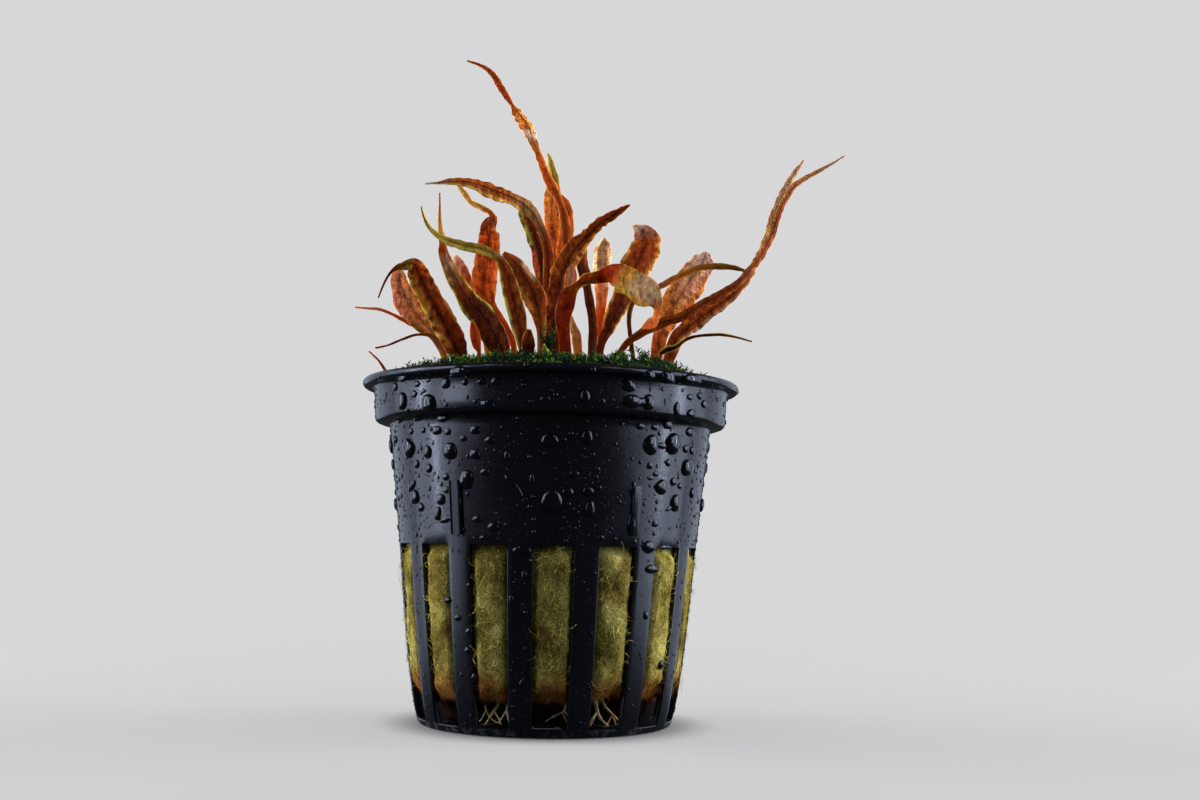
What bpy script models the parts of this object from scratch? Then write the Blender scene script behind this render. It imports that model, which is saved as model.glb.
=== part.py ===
"""A small brown-leaved aquarium plant in a slotted black net pot, with rock wool, roots and a mat of moss.

Lengths are in metres, +Z is up, and the origin is the middle of the pot's underside. The front is -Y.
The leaves' and roots' routes alone are in millimetres.
"""

import math

import bmesh
import bpy
from mathutils import Quaternion, Vector

# Pot
POT_HEIGHT = 0.049
FOOT_RADIUS = 0.0179
SLOT_TOP_RADIUS = 0.0215
NECK_RADIUS = 0.0234
COLLAR_RADIUS = 0.0256
RIM_RADIUS = 0.0275
WALL = 0.0009
FLOOR_TOP = 0.0009
NECK_HEIGHT = 0.0425
COLLAR_HEIGHT = 0.0433
RIM_UNDERSIDE = 0.0478
WALL_CURVE = 0.62
CURVED_WALL_HEIGHTS = (0.0040, 0.0110)
FOOT_BEVEL = 0.0003
COLLAR_BEVEL = 0.0005
COLLAR_FLARE = 0.0002
RIM_BEVEL = 0.0005
MOUTH_BEVEL = 0.0008
ROUND_PARTS = 60
SHARP_ANGLE = math.radians(35)
MERGE_DISTANCE = 1e-6

# Slots in the pot's wall, and drain holes in its floor
SLOTS = 15
SLOT_BOTTOM = 0.0011
SLOT_TOP = 0.0254
SLOT_HALF_ANGLE = math.radians(7.3)
FIRST_SLOT_ANGLE = math.radians(-88)
DRAINS = 8
DRAIN_INNER_RADIUS = 0.0065
DRAIN_OUTER_RADIUS = 0.0145
DRAIN_HALF_ANGLE = math.radians(9)
SLOT_CUT_RADII = (0.015, 0.030)
DRAIN_CUT_HEIGHTS = (-0.001, 0.0010)

# Two upright bars moulded on the pot's wall
BAR_ANGLES = (math.radians(-124), math.radians(-58.5))
BAR_HALF_ANGLE = math.radians(1.7)
BAR_BOTTOM = 0.0269
BAR_TOP = 0.0337
BAR_PROUD = 0.0004

# Rock wool, roots and moss
GAP = 0.0003
WOOL_BOTTOM = 0.0046
WOOL_TOP = 0.0428
WOOL_BULGE = 0.0011
WOOL_BULGE_MARGIN = 0.0009
WOOL_BULGE_EDGE = math.radians(1.0)
WOOL_MIDDLE_HEIGHT = 0.0130
WOOL_CORNER = 0.0003
WOOL_PARTS_PER_SLOT = 5
WOOL_FOOT_RADIUS = 0.0122
WOOL_FOOT_BOTTOM = 0.0014
WOOL_FOOT_FLARE = 0.0008
WOOL_FOOT_WIDENING = 0.0045
WOOL_FOOT_FRONT_SINE = -0.83
WOOL_FOOT_SIDE_SINE = -0.72
MOSS_BOTTOM = 0.0438
MOSS_RADIUS = 0.0243
MOSS_EDGE = 0.0490
MOSS_RISE = 0.0028
MOSS_EDGE_CURVE = 6
MOSS_BEVEL = 0.0009
MOSS_RINGS = 6
MOSS_PARTS = 32
MOSS_MOUNDS = (
    (0.0125, -0.0125, 0.0060, 0.0016),
    (-0.0030, -0.0140, 0.0070, 0.0004),
    (-0.0110, 0.0060, 0.0070, 0.0008),
    (0.0070, 0.0110, 0.0080, 0.0007),
)
TUFT_PLACE = (-0.0007, -0.0150)
TUFT_HEIGHT = 0.0038
TUFT_RADIUS = 0.0008
TUFT_SHAPE = ((0.6, 0), (1, 0.25), (0.85, 0.6), (0.4, 0.95))
TUFT_PARTS = 8
ROOT_RADIUS = 0.0003
ROOT_STEPS_PER_ROW = 2

# Leaves
LEAF_THICKNESS = 0.0004
LEAF_FOLD = 0.22
LEAST_TURN_COSINE = 0.4
STATION_SPACING = 0.0019
LEAST_STATIONS = 5
LOOK_AHEAD = 0.01
EYE = Vector((0.0, -0.211, 0.0254))
MM = 0.001

# Colours and roughness
PLASTIC_COLOUR = (0.008, 0.009, 0.012)
PLASTIC_ROUGHNESS = 0.2
WOOL_COLOUR = (0.26, 0.19, 0.03)
WOOL_ROUGHNESS = 0.95
MOSS_COLOUR = (0.015, 0.05, 0.008)
TUFT_COLOUR = (0.012, 0.045, 0.006)
MOSS_ROUGHNESS = 0.9
ROOT_COLOUR = (0.42, 0.30, 0.14)
ROOT_ROUGHNESS = 0.6
LEAF_ROUGHNESS = 0.45
BROWN = (0.16, 0.035, 0.012)
DARK = (0.07, 0.02, 0.01)
ORANGE = (0.36, 0.09, 0.02)
PINK = (0.45, 0.20, 0.12)
OLIVE = (0.13, 0.12, 0.02)

# A leaf's colour, its depths, its turns and its route from foot to tip. The route's rows of x, z and width are
# as the eye in front sees them on the pot's middle plane. Depth moves a point along its line of sight, away
# from the eye, and turn is the angle in degrees by which the blade turns away from the eye. Depths and turns
# are rows of (share of the route, value), with straight lines between them.
LEAVES = {
    "leaf_01": (BROWN, [(0, -8), (1, -14)], [(0, -15), (0.6, 0), (0.75, 30), (1, 20)], [(-13.5, 52.9, 2.3),
        (-14.4, 54.7, 3.6), (-15.3, 56.2, 3.9), (-16.3, 58.1, 3.6), (-17.2, 59.9, 3.4), (-18.3, 61.8, 3.5),
        (-19.4, 63.7, 3.5), (-20.2, 65.5, 2.9), (-20.9, 66.7, 1.9), (-22.3, 66.5, 1.2), (-23.9, 65.7, 0.5),
        (-25, 64, 0.3), (-25.9, 61.5, 0.2)]),
    "leaf_02": (ORANGE, [(0, -3), (1, -4)], [(0, 10), (1, 20)], [(-15.5, 53.6, 0.9), (-17.2, 55.7, 1.5),
        (-19.1, 57.9, 2.9), (-20.9, 59.9, 3.8), (-22.1, 62, 3.6), (-22.8, 63.9, 2.6), (-23, 65.4, 1.8),
        (-23, 66.5, 0.6)]),
    "leaf_03": (PINK, [(0, 1), (1, 7)], [(0, 40), (0.5, 50), (1, 30)], [(-15.7, 54.5, 0.7),
        (-17.5, 56.3, 0.9), (-19.6, 57.3, 0.9), (-21.9, 58.3, 0.6), (-23.7, 59.1, 0.4), (-25.6, 59.8, 0.4),
        (-27.4, 59.9, 0.3), (-29.3, 60, 0.2)]),
    "leaf_04": (DARK, [(0, -12), (1, -17)], [(0, 30), (0.5, 60), (1, 50)], [(-15.7, 53.3, 0.6),
        (-16.5, 54.5, 0.7), (-17.4, 55.7, 0.7), (-18.6, 56.2, 0.4), (-20.3, 56.1, 0.3), (-22.2, 55.4, 0.3),
        (-24.2, 54.5, 0.2), (-26.1, 54, 0.2)]),
    "leaf_05": (BROWN, [(0, 5), (1, 5)], [(0, 0), (1, 0)], [(-23.5, 49.3, 0.4), (-24.6, 50.8, 0.4),
        (-25.6, 52.2, 0.3), (-27, 53.5, 0.2)]),
    "leaf_06": (OLIVE, [(0, -10), (1, -16)], [(0, 10), (0.5, 0), (0.7, 30), (1, 10)], [(-7.4, 53.8, 2.9),
        (-8.2, 55.6, 3.5), (-9.5, 57.7, 3.8), (-10.8, 59.6, 3.6), (-12.4, 61.2, 3.1), (-13.7, 63, 2.6),
        (-14.8, 64.9, 2.3), (-15.8, 66.7, 1.9), (-16.4, 68.5, 1.5), (-16.6, 70.1, 1), (-17, 72.2, 0.7),
        (-17.2, 74.7, 0.4), (-17.3, 77.6, 0.2)]),
    "leaf_07": (PINK, [(0, 3), (1, 8)], [(0, 0), (1, -20)], [(-9.3, 56.3, 0.9), (-10.5, 59.3, 1.5),
        (-11.8, 61.8, 1.8), (-12.9, 64, 1.9), (-14, 66.3, 1.9), (-14.9, 68.1, 0.7)]),
    "leaf_08": (ORANGE, [(0, -2), (0.6, -3), (0.7, -1), (1, 3)],
        [(0, 0), (0.6, 0), (0.72, 50), (0.85, 30), (1, 0)], [(-5.4, 53.9, 0.7), (-6, 55.6, 1),
        (-7.1, 57.6, 1.3), (-8.3, 59.3, 1.5), (-9.4, 60.7, 2), (-10.2, 62.3, 3.5), (-10.4, 64.5, 3.8),
        (-10.1, 66.8, 3.5), (-9.9, 69.1, 3.4), (-9.8, 71.1, 3.2), (-9.7, 72.6, 2.5), (-9.1, 73.8, 1.2),
        (-9.7, 74.8, 0.7), (-11.1, 75.6, 0.9), (-12.6, 76.3, 0.7), (-13.5, 77.5, 0.9), (-14.6, 78.8, 0.4)]),
    "leaf_09": (DARK, [(0, -2.5), (0.5, -1.5), (1, -7)], [(0, 0), (0.35, 0), (0.6, 45), (0.85, 40), (1, 20)],
        [(-0.5, 54, 1.3), (-0.6, 58.8, 1.5), (-0.8, 63.3, 1.6), (-0.9, 67.5, 1.6), (-1.3, 70.4, 1.3),
        (-2.1, 72.6, 1.3), (-3.2, 74.6, 1.6), (-4.7, 76.1, 1.9), (-6.7, 77.2, 1.9), (-8.8, 78, 1.9),
        (-11, 78.8, 1.8), (-13.1, 79.3, 1.3), (-15.5, 79.4, 0.9), (-17.6, 79.1, 0.4), (-19.5, 78.9, 0.2)]),
    "leaf_10": (OLIVE, [(0, -11), (0.4, -13), (1, -19)], [(0, -10), (0.35, 0), (0.5, 40), (0.8, 40), (1, 0)],
        [(-4.2, 53.9, 1.5), (-4.7, 56.4, 2), (-5.3, 58.9, 2.5), (-6, 61.6, 2.8), (-6.6, 64, 2.6),
        (-7.3, 66.1, 2), (-8.1, 67.6, 1.3), (-9.3, 68.6, 1.2), (-11.1, 69.3, 1.3), (-12.9, 69.6, 1.3),
        (-14.5, 70, 1.2), (-16, 70.4, 1), (-17.4, 71.2, 0.8), (-18.6, 72.2, 0.6), (-19.5, 73.7, 0.4),
        (-20, 75.5, 0.2)]),
    "leaf_11": (DARK, [(0, -6), (1, -8.5)], [(0, 0), (0.6, 0), (1, 30)], [(-1.7, 53.9, 1), (-1.7, 56.5, 1.2),
        (-1.9, 58.4, 1.8), (-2.3, 60.5, 2.9), (-3, 62.6, 3.2), (-4, 64.5, 2.9), (-5.1, 66.2, 2.5),
        (-6.3, 67.7, 1.8), (-7.6, 68.7, 0.6)]),
    "leaf_12": (BROWN, [(0, -14.5), (1, -15.5)], [(0, 0), (1, 0)], [(-3.6, 53.7, 1.8), (-3.6, 54.9, 1.9),
        (-3.6, 56.1, 1.6), (-3.5, 57.3, 0.6)]),
    "leaf_13": (ORANGE, [(0, 2), (0.4, 4), (1, 8)],
        [(0, 0), (0.3, 10), (0.45, 40), (0.55, 20), (0.65, 65), (0.72, 30), (1, 10)], [(1.1, 54.3, 1.2),
        (1.3, 58.8, 1.5), (1.7, 63.3, 1.6), (1.8, 67.9, 1.5), (1.7, 72.4, 1.3), (1.2, 75.1, 1.2),
        (0.5, 77, 1.2), (-0.4, 78.8, 1.5), (-1.3, 80.7, 1.3), (-2.1, 82.5, 1), (-2.9, 84.5, 1),
        (-3.7, 86.3, 1.6), (-4.4, 88.2, 2), (-5.5, 89.8, 1.3), (-6.7, 91.2, 0.6), (-7.6, 92.6, 0.9),
        (-8.6, 94.1, 1), (-9.5, 95.6, 0.9), (-10.7, 96.8, 0.7), (-12.1, 97.5, 0.4), (-13.8, 98, 0.2)]),
    "leaf_14": (ORANGE, [(0, 7.5), (1, 9)], [(0, 0), (1, 10)], [(0.7, 54.6, 0.9), (0.6, 59.5, 1.3),
        (0.7, 63.3, 1.5), (0.9, 66.3, 1.8), (1.3, 68.9, 2), (1.7, 71.2, 2.2), (1.8, 73.3, 2.2),
        (1.7, 75.2, 2), (1.3, 76.5, 1.6), (0.7, 77.7, 0.6)]),
    "leaf_15": (ORANGE, [(0, 11), (1, 14.5)], [(0, 0), (0.6, -10), (1, 0)], [(0.2, 54.3, 0.9),
        (0.2, 58.8, 1.2), (0.2, 63.3, 1.6), (0.2, 67.1, 1.8), (0.1, 69.8, 1.9), (-0.3, 72.4, 2.2),
        (-0.5, 75.1, 2.5), (-0.5, 77.5, 2.5), (-0.4, 79.4, 1.9), (-0.5, 81.1, 1.2), (-0.8, 82.6, 0.9),
        (-1.3, 84, 0.3)]),
    "leaf_16": (DARK, [(0, -3), (0.5, -5), (1, -9)], [(0, 0), (0.5, 10), (0.8, 35), (1, 20)],
        [(0.1, 54.3, 2), (0.2, 58, 2.5), (0.4, 61.3, 2.8), (0.8, 64.1, 3.1), (1.5, 66.6, 3.2),
        (2.6, 68.8, 3.1), (3.9, 70.5, 2.6), (5.3, 72, 2), (6.7, 73.5, 1.6), (8.4, 74.6, 1.3), (9.8, 75.6, 1),
        (11.2, 76.5, 0.2)]),
    "leaf_17": (BROWN, [(0, 2), (1, 6)], [(0, 20), (0.5, 0), (1, 40)], [(5.9, 54.1, 1.3), (6, 56.7, 1.2),
        (5.8, 59.2, 1.2), (5.4, 61.6, 1.3), (5, 63.7, 1.2), (4.6, 65.5, 1.6), (4.3, 67, 1.8),
        (4.4, 68.5, 1.3), (4.7, 69.9, 0.4)]),
    "leaf_18": (ORANGE, [(0, -7), (1, -8.5)], [(0, 0), (1, 0)], [(2.3, 54, 0.6), (2.2, 58.1, 0.7),
        (2.2, 61.4, 0.9), (2.3, 63.5, 1.3), (2.5, 65.2, 1.8), (2.6, 66.4, 1.3), (2.7, 67.1, 0.4)]),
    "leaf_19": (PINK, [(0, -12), (0.3, -15), (0.75, -21), (1, -19)],
        [(0, 0), (0.2, 0), (0.3, 50), (0.4, 40), (0.5, 10), (0.8, 0), (0.87, 50), (1, 10)], [(2, 53.9, 1.8),
        (1.7, 56.6, 1.9), (1.5, 59.1, 2.3), (1.9, 61.4, 2.8), (2.6, 63, 2), (3.8, 64.1, 1), (5.2, 64.9, 1.8),
        (6.7, 65.3, 1.9), (8.1, 65.6, 2.9), (9.4, 65.5, 3.9), (10.9, 64.9, 4.1), (12.4, 64, 4.2),
        (13.8, 63.1, 4.1), (15, 62, 2.9), (15.4, 60.8, 1.2), (15.2, 59.6, 1), (14.4, 58.5, 1.6),
        (13.3, 57.9, 0.4)]),
    "leaf_20": (ORANGE, [(0, 0), (0.8, 3.5), (1, 6)], [(0, 0), (0.8, 0), (1, 45)], [(6.8, 54, 1),
        (7.3, 55.6, 1.3), (8.2, 57.5, 1.9), (8.9, 59.3, 2.5), (9.8, 61.3, 2.9), (10.6, 63.2, 3.6),
        (11.4, 65.2, 4.2), (12.2, 67.2, 4.5), (13, 69, 4.8), (13.6, 70.4, 4.7), (13.7, 71.6, 3.9),
        (12.9, 72.8, 2.2), (11.8, 73.4, 0.6)]),
    "leaf_21": (PINK, [(0, 10), (1, 14)], [(0, 0), (1, -15)], [(6.8, 54.4, 0.6), (6.9, 56.7, 0.9),
        (7, 58.9, 1.2), (7.1, 61.2, 1.6), (7.1, 63.1, 2), (7, 65.3, 2.2), (7.1, 67.7, 2.5), (7.2, 69.5, 2.6),
        (7.4, 70.7, 1.6), (7.4, 71.3, 0.4)]),
    "leaf_22": (PINK, [(0, 11), (1, 12.5)], [(0, 0), (1, 0)], [(4.1, 53.9, 1.2), (3.6, 55.9, 1.5),
        (3.1, 57.6, 1.3), (2.7, 59.4, 0.4)]),
    "leaf_23": (ORANGE, [(0, 5), (1, 12)], [(0, 0), (1, -10)], [(15.2, 54.9, 1.5), (16.1, 56.9, 2.3),
        (17, 59.2, 3.2), (18, 61.4, 3.9), (19.2, 63.4, 4.4), (20.5, 65.4, 4.5), (21.7, 67.3, 4.2),
        (22.4, 68.7, 2.9), (22.7, 69.6, 0.7)]),
    "leaf_24": (OLIVE, [(0, -3), (0.4, -4), (1, 1.5)], [(0, 0), (0.4, 20), (0.7, 40), (1, 30)],
        [(12.1, 54.2, 0.6), (11.5, 56.8, 0.6), (11.3, 59.3, 0.7), (11.7, 61.4, 0.7), (13, 63, 0.7),
        (14.7, 63.8, 0.7), (16.3, 64.4, 0.9), (17.9, 65.4, 0.9), (19.6, 66.2, 0.9), (21.2, 66.9, 0.9),
        (23, 67.3, 0.9), (24.8, 67.4, 0.9), (26.6, 67.3, 0.7), (28.1, 67, 0.5), (29.2, 66.7, 0.2)]),
    "leaf_25": (DARK, [(0, -8), (0.25, -10), (0.6, -7.5), (1, -3)],
        [(0, 10), (0.2, 0), (0.4, 20), (0.55, 40), (0.7, 20), (0.85, 35), (1, 10)], [(9.7, 54.2, 0.9),
        (11.2, 55.7, 1), (13, 57, 1.2), (14.7, 58.1, 1.6), (16.7, 58.9, 1.5), (18.6, 59.4, 1.3),
        (20.4, 60.4, 1.3), (22.2, 61.7, 1.3), (24, 62.6, 1.3), (25.7, 63.7, 1.2), (27.4, 64.8, 1),
        (28.7, 66.2, 1), (29.8, 67.6, 1), (30.8, 69, 1.2), (31.7, 70.7, 1.3), (32.6, 72.7, 1.3),
        (33.3, 74.7, 1), (33.9, 76.6, 0.9), (34.8, 78.3, 0.9), (35.9, 79.9, 0.9), (37.4, 81.1, 0.7),
        (39.1, 82.1, 0.6), (41.2, 83.3, 0.4), (43.6, 84.9, 0.2)]),
    "leaf_26": (BROWN, [(0, -4), (0.4, -3.5), (1, 3)], [(0, 0), (0.3, 0), (0.5, 35), (0.8, 10), (1, 20)],
        [(17, 54.5, 1.5), (18.2, 56, 2), (19.5, 57.6, 2.3), (20.9, 58.7, 2.5), (22.3, 59.9, 2.3),
        (24, 61.1, 2), (25.6, 62.3, 1.8), (27.2, 63.6, 1.5), (28.6, 65, 1.2), (29.6, 66.7, 1.2),
        (30.4, 68.4, 1), (31.2, 70.1, 1), (31.9, 72, 1), (32.4, 73.8, 1.2), (33, 75.7, 1.2),
        (33.6, 77.4, 1.2), (34.4, 79.1, 1.2), (35.3, 80.8, 1), (36.3, 82.5, 0.7), (37.4, 84.1, 0.2)]),
    "leaf_27": (OLIVE, [(0, -12), (1, -16)], [(0, 40), (0.4, 50), (1, 30)], [(16, 54.3, 0.6),
        (17.2, 54.7, 0.9), (18.4, 55.1, 0.7), (19.5, 56, 0.5), (21, 56.7, 0.4), (23.1, 57, 0.4),
        (25.2, 57.1, 0.4), (27.3, 56.8, 0.3), (29.7, 56.2, 0.2)]),
    "leaf_28": (ORANGE, [(0, -15), (1, -16.5)], [(0, 0), (1, 0)], [(-10.8, 52.7, 0.7), (-11.2, 54.8, 1.3),
        (-11.6, 56.7, 1.3), (-12, 58.2, 0.4)]),
    "leaf_29": (OLIVE, [(0, -17.5), (1, -18.5)], [(0, 0), (1, 0)], [(-0.8, 53.1, 0.6), (-0.9, 54.1, 0.7),
        (-1.3, 55.1, 0.3)]),
    "leaf_30": (DARK, [(0, 2.5), (1, 3.5)], [(0, 0), (0.7, -10), (1, 10)], [(-0.6, 54, 1.5), (-0.9, 58, 2.2),
        (-1.1, 61.8, 2.5), (-1.5, 64.8, 2.5), (-1.8, 67, 2.5), (-2.3, 69.3, 2.5), (-2.9, 71.2, 2.5),
        (-3.6, 73, 2.6), (-4.1, 74.7, 2.9), (-4.1, 75.9, 2), (-4, 76.8, 0.6)]),
}

# A root's route from the wool down to the floor: x, y, z in millimetres
ROOTS = {
    "root_01": [(6.9, -14.6, 4.1), (7.1, -14.5, 3.3), (7.6, -14.3, 2.3), (8.5, -13.8, 1.4)],
    "root_02": [(8.0, -14.0, 4.1), (8.6, -13.6, 3.4), (9.3, -13.2, 2.7), (10.0, -12.7, 2.0)],
    "root_03": [(-6.3, -14.9, 4.1), (-6.8, -14.7, 3.3), (-7.3, -14.5, 2.4), (-7.8, -14.1, 1.5)],
    "root_04": [(-5.1, -15.3, 4.1), (-5.1, -15.4, 3.3), (-4.9, -15.4, 2.5), (-4.6, -15.5, 1.6)],
    "root_05": [(2.7, -15.9, 4.1), (2.4, -16.0, 3.4), (1.2, -16.2, 2.8), (0.1, -16.2, 2.1)],
    "root_06": [(-8.1, -12.6, 4.1), (-7.8, -12.8, 2.9), (-7.0, -13.2, 1.9), (-5.9, -13.8, 1.5)],
}


def clear_scene():
    for thing in list(bpy.data.objects):
        bpy.data.objects.remove(thing)


def surface(name, colour, roughness):
    """A material of one colour."""
    material = bpy.data.materials.new(name)
    material.use_nodes = True
    shader = material.node_tree.nodes["Principled BSDF"]
    shader.inputs["Base Color"].default_value = (*colour, 1)
    shader.inputs["Roughness"].default_value = roughness
    shader.inputs["Metallic"].default_value = 0
    return material


def add_object(name, data, material=None):
    thing = bpy.data.objects.new(name, data)
    bpy.context.scene.collection.objects.link(thing)
    if material:
        data.materials.append(material)
    return thing


def finished_mesh(name, bm):
    """The mesh of a bmesh, with its faces pointing out and smooth where they turn gently."""
    bmesh.ops.recalc_face_normals(bm, faces=bm.faces)
    mesh = bpy.data.meshes.new(name)
    bm.to_mesh(mesh)
    bm.free()
    mesh.shade_smooth()
    mesh.set_sharp_from_angle(angle=SHARP_ANGLE)
    return mesh


def turned(profile, parts):
    """A bmesh of a closed profile of (radius, height) points turned about the Z axis."""
    bm = bmesh.new()
    points = [bm.verts.new((radius, 0, height)) for radius, height in profile]
    edges = [bm.edges.new(pair) for pair in zip(points, points[1:])]
    bmesh.ops.spin(bm, geom=points + edges, cent=(0, 0, 0), axis=(0, 0, 1), angle=math.tau, steps=parts)
    bmesh.ops.remove_doubles(bm, verts=bm.verts, dist=MERGE_DISTANCE)
    return bm


def polar(radius, angle, height):
    return Vector((radius * math.cos(angle), radius * math.sin(angle), height))


def add_wedge(bm, radii, angle, half_angle, heights):
    """A block between two radii, two angles and two heights."""
    for corner in bmesh.ops.create_cube(bm, size=2)["verts"]:
        outer, side, top = (round(value) for value in corner.co)
        corner.co = polar(radii[outer > 0], angle + side * half_angle, heights[top > 0])


def cutter(name, bm):
    """A helper solid that isn't part of the object."""
    thing = add_object(name, finished_mesh(name, bm))
    thing.hide_render = True
    thing.display_type = "WIRE"
    return thing


def boolean(thing, operation, other):
    modifier = thing.modifiers.new(other.name, "BOOLEAN")
    modifier.operation = operation
    modifier.object = other
    modifier.solver = "EXACT"


def wall_radius(height):
    """The outer radius of the pot's tapered wall at a height below the collar."""
    if height < SLOT_TOP:
        return FOOT_RADIUS + (SLOT_TOP_RADIUS - FOOT_RADIUS) * math.pow(height / SLOT_TOP, WALL_CURVE)
    share = (height - SLOT_TOP) / (NECK_HEIGHT - SLOT_TOP)
    return SLOT_TOP_RADIUS + (NECK_RADIUS - SLOT_TOP_RADIUS) * share


def slot_angles():
    return [FIRST_SLOT_ANGLE + math.tau * number / SLOTS for number in range(SLOTS)]


def net_pot():
    outside = [(0, 0), (FOOT_RADIUS - FOOT_BEVEL, 0)]
    wall_heights = (FOOT_BEVEL, *CURVED_WALL_HEIGHTS, SLOT_TOP, NECK_HEIGHT)
    outside += [(wall_radius(height), height) for height in wall_heights]
    outside += [
        (COLLAR_RADIUS - COLLAR_BEVEL, NECK_HEIGHT + COLLAR_BEVEL / 2),
        (COLLAR_RADIUS, COLLAR_HEIGHT),
        (COLLAR_RADIUS + COLLAR_FLARE, RIM_UNDERSIDE - COLLAR_FLARE),
        (RIM_RADIUS - RIM_BEVEL, RIM_UNDERSIDE),
        (RIM_RADIUS, RIM_UNDERSIDE + RIM_BEVEL),
        (RIM_RADIUS - RIM_BEVEL, POT_HEIGHT),
    ]
    inside = [
        (COLLAR_RADIUS, POT_HEIGHT),
        (COLLAR_RADIUS - WALL, POT_HEIGHT - MOUTH_BEVEL),
        (COLLAR_RADIUS - WALL, COLLAR_HEIGHT + COLLAR_BEVEL),
        (NECK_RADIUS - WALL, NECK_HEIGHT - COLLAR_BEVEL / 2),
    ]
    lower_heights = (SLOT_TOP, *reversed(CURVED_WALL_HEIGHTS), FLOOR_TOP)
    inside += [(wall_radius(height) - WALL, height) for height in lower_heights]
    inside += [(0, FLOOR_TOP)]
    mesh = finished_mesh("net_pot", turned(outside + inside, ROUND_PARTS))
    plastic = surface("black_plastic", PLASTIC_COLOUR, PLASTIC_ROUGHNESS)
    pot = add_object("net_pot", mesh, plastic)

    slots = bmesh.new()
    for angle in slot_angles():
        add_wedge(slots, SLOT_CUT_RADII, angle, SLOT_HALF_ANGLE, (SLOT_BOTTOM, SLOT_TOP))
    for number in range(DRAINS):
        radii = (DRAIN_INNER_RADIUS, DRAIN_OUTER_RADIUS)
        add_wedge(slots, radii, math.tau * number / DRAINS, DRAIN_HALF_ANGLE, DRAIN_CUT_HEIGHTS)
    boolean(pot, "DIFFERENCE", cutter("slot_cutters", slots))

    bars = bmesh.new()
    for angle in BAR_ANGLES:
        for corner in bmesh.ops.create_cube(bars, size=2)["verts"]:
            outer, side, top = (round(value) for value in corner.co)
            height = BAR_TOP if top > 0 else BAR_BOTTOM
            radius = wall_radius(height) + (BAR_PROUD if outer > 0 else -WALL / 2)
            corner.co = polar(radius, angle + side * BAR_HALF_ANGLE, height)
    boolean(pot, "UNION", cutter("bar_shapes", bars))


def foot_widening(angle):
    """How much wider the wool's foot is at an angle than in front, where the roots hang."""
    share = (math.sin(angle) - WOOL_FOOT_FRONT_SINE) / (WOOL_FOOT_SIDE_SINE - WOOL_FOOT_FRONT_SINE)
    return WOOL_FOOT_WIDENING * min(max(share, 0), 1)


def rock_wool():
    """A plug that fills the pot and bulges into its slots, with a narrower foot that hangs near the floor."""
    band = (WOOL_BOTTOM + WOOL_BULGE_MARGIN, SLOT_TOP - WOOL_BULGE_MARGIN)
    heights = (WOOL_BOTTOM, WOOL_BOTTOM + WOOL_CORNER, band[0], WOOL_MIDDLE_HEIGHT, band[1], SLOT_TOP, WOOL_TOP)
    profile = [
        (0, WOOL_FOOT_BOTTOM),
        (WOOL_FOOT_RADIUS, WOOL_FOOT_BOTTOM),
        (WOOL_FOOT_RADIUS + WOOL_FOOT_FLARE, WOOL_BOTTOM),
    ]
    profile += [(wall_radius(height) - WALL - GAP, height) for height in heights]
    profile += [(0, WOOL_TOP)]
    bm = turned(profile, SLOTS * WOOL_PARTS_PER_SLOT)
    reach = SLOT_HALF_ANGLE - WOOL_BULGE_EDGE
    for point in bm.verts:
        radius = math.hypot(point.co.x, point.co.y)
        if radius < MERGE_DISTANCE:
            continue
        angle = math.atan2(point.co.y, point.co.x)
        if radius < WOOL_FOOT_RADIUS + WOOL_FOOT_FLARE + MERGE_DISTANCE:
            point.co = polar(radius + foot_widening(angle), angle, point.co.z)
            continue
        number = round((angle - FIRST_SLOT_ANGLE) / math.tau * SLOTS)
        offset = angle - FIRST_SLOT_ANGLE - number * math.tau / SLOTS
        in_band = band[0] - MERGE_DISTANCE <= point.co.z <= band[1] + MERGE_DISTANCE
        if abs(offset) <= reach and in_band:
            point.co = polar(radius + WOOL_BULGE, angle, point.co.z)
    add_object("rock_wool", finished_mesh("rock_wool", bm), surface("wool", WOOL_COLOUR, WOOL_ROUGHNESS))


def moss_height(x, y):
    """The height of the moss's tips over a place in the pot."""
    share = min(math.hypot(x, y) / MOSS_RADIUS, 1)
    inward = 1 - math.pow(share, MOSS_EDGE_CURVE)
    height = MOSS_EDGE + MOSS_RISE * inward
    for mound_x, mound_y, radius, rise in MOSS_MOUNDS:
        far = math.hypot(x - mound_x, y - mound_y) / radius
        height += rise * math.exp(-2 * far * far) * inward
    return height


def moss_mat():
    profile = [
        (0, MOSS_BOTTOM),
        (MOSS_RADIUS - MOSS_BEVEL, MOSS_BOTTOM),
        (MOSS_RADIUS, MOSS_BOTTOM + MOSS_BEVEL),
    ]
    profile += [(MOSS_RADIUS * math.sqrt(1 - ring / MOSS_RINGS), MOSS_EDGE) for ring in range(MOSS_RINGS)]
    profile += [(0, MOSS_EDGE)]
    bm = turned(profile, MOSS_PARTS)
    for point in bm.verts:
        if point.co.z > MOSS_EDGE - MERGE_DISTANCE:
            point.co.z = moss_height(point.co.x, point.co.y)
    add_object("moss_mat", finished_mesh("moss_mat", bm), surface("moss", MOSS_COLOUR, MOSS_ROUGHNESS))


def moss_tuft():
    """A narrow upright sprig of moss."""
    foot = moss_height(*TUFT_PLACE) + GAP
    profile = [(0, foot)]
    profile += [(TUFT_RADIUS * width, foot + TUFT_HEIGHT * rise) for width, rise in TUFT_SHAPE]
    profile += [(0, foot + TUFT_HEIGHT)]
    bm = turned(profile, TUFT_PARTS)
    bmesh.ops.translate(bm, verts=bm.verts, vec=(*TUFT_PLACE, 0))
    add_object("moss_tuft", finished_mesh("moss_tuft", bm), surface("tuft", TUFT_COLOUR, MOSS_ROUGHNESS))


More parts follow.
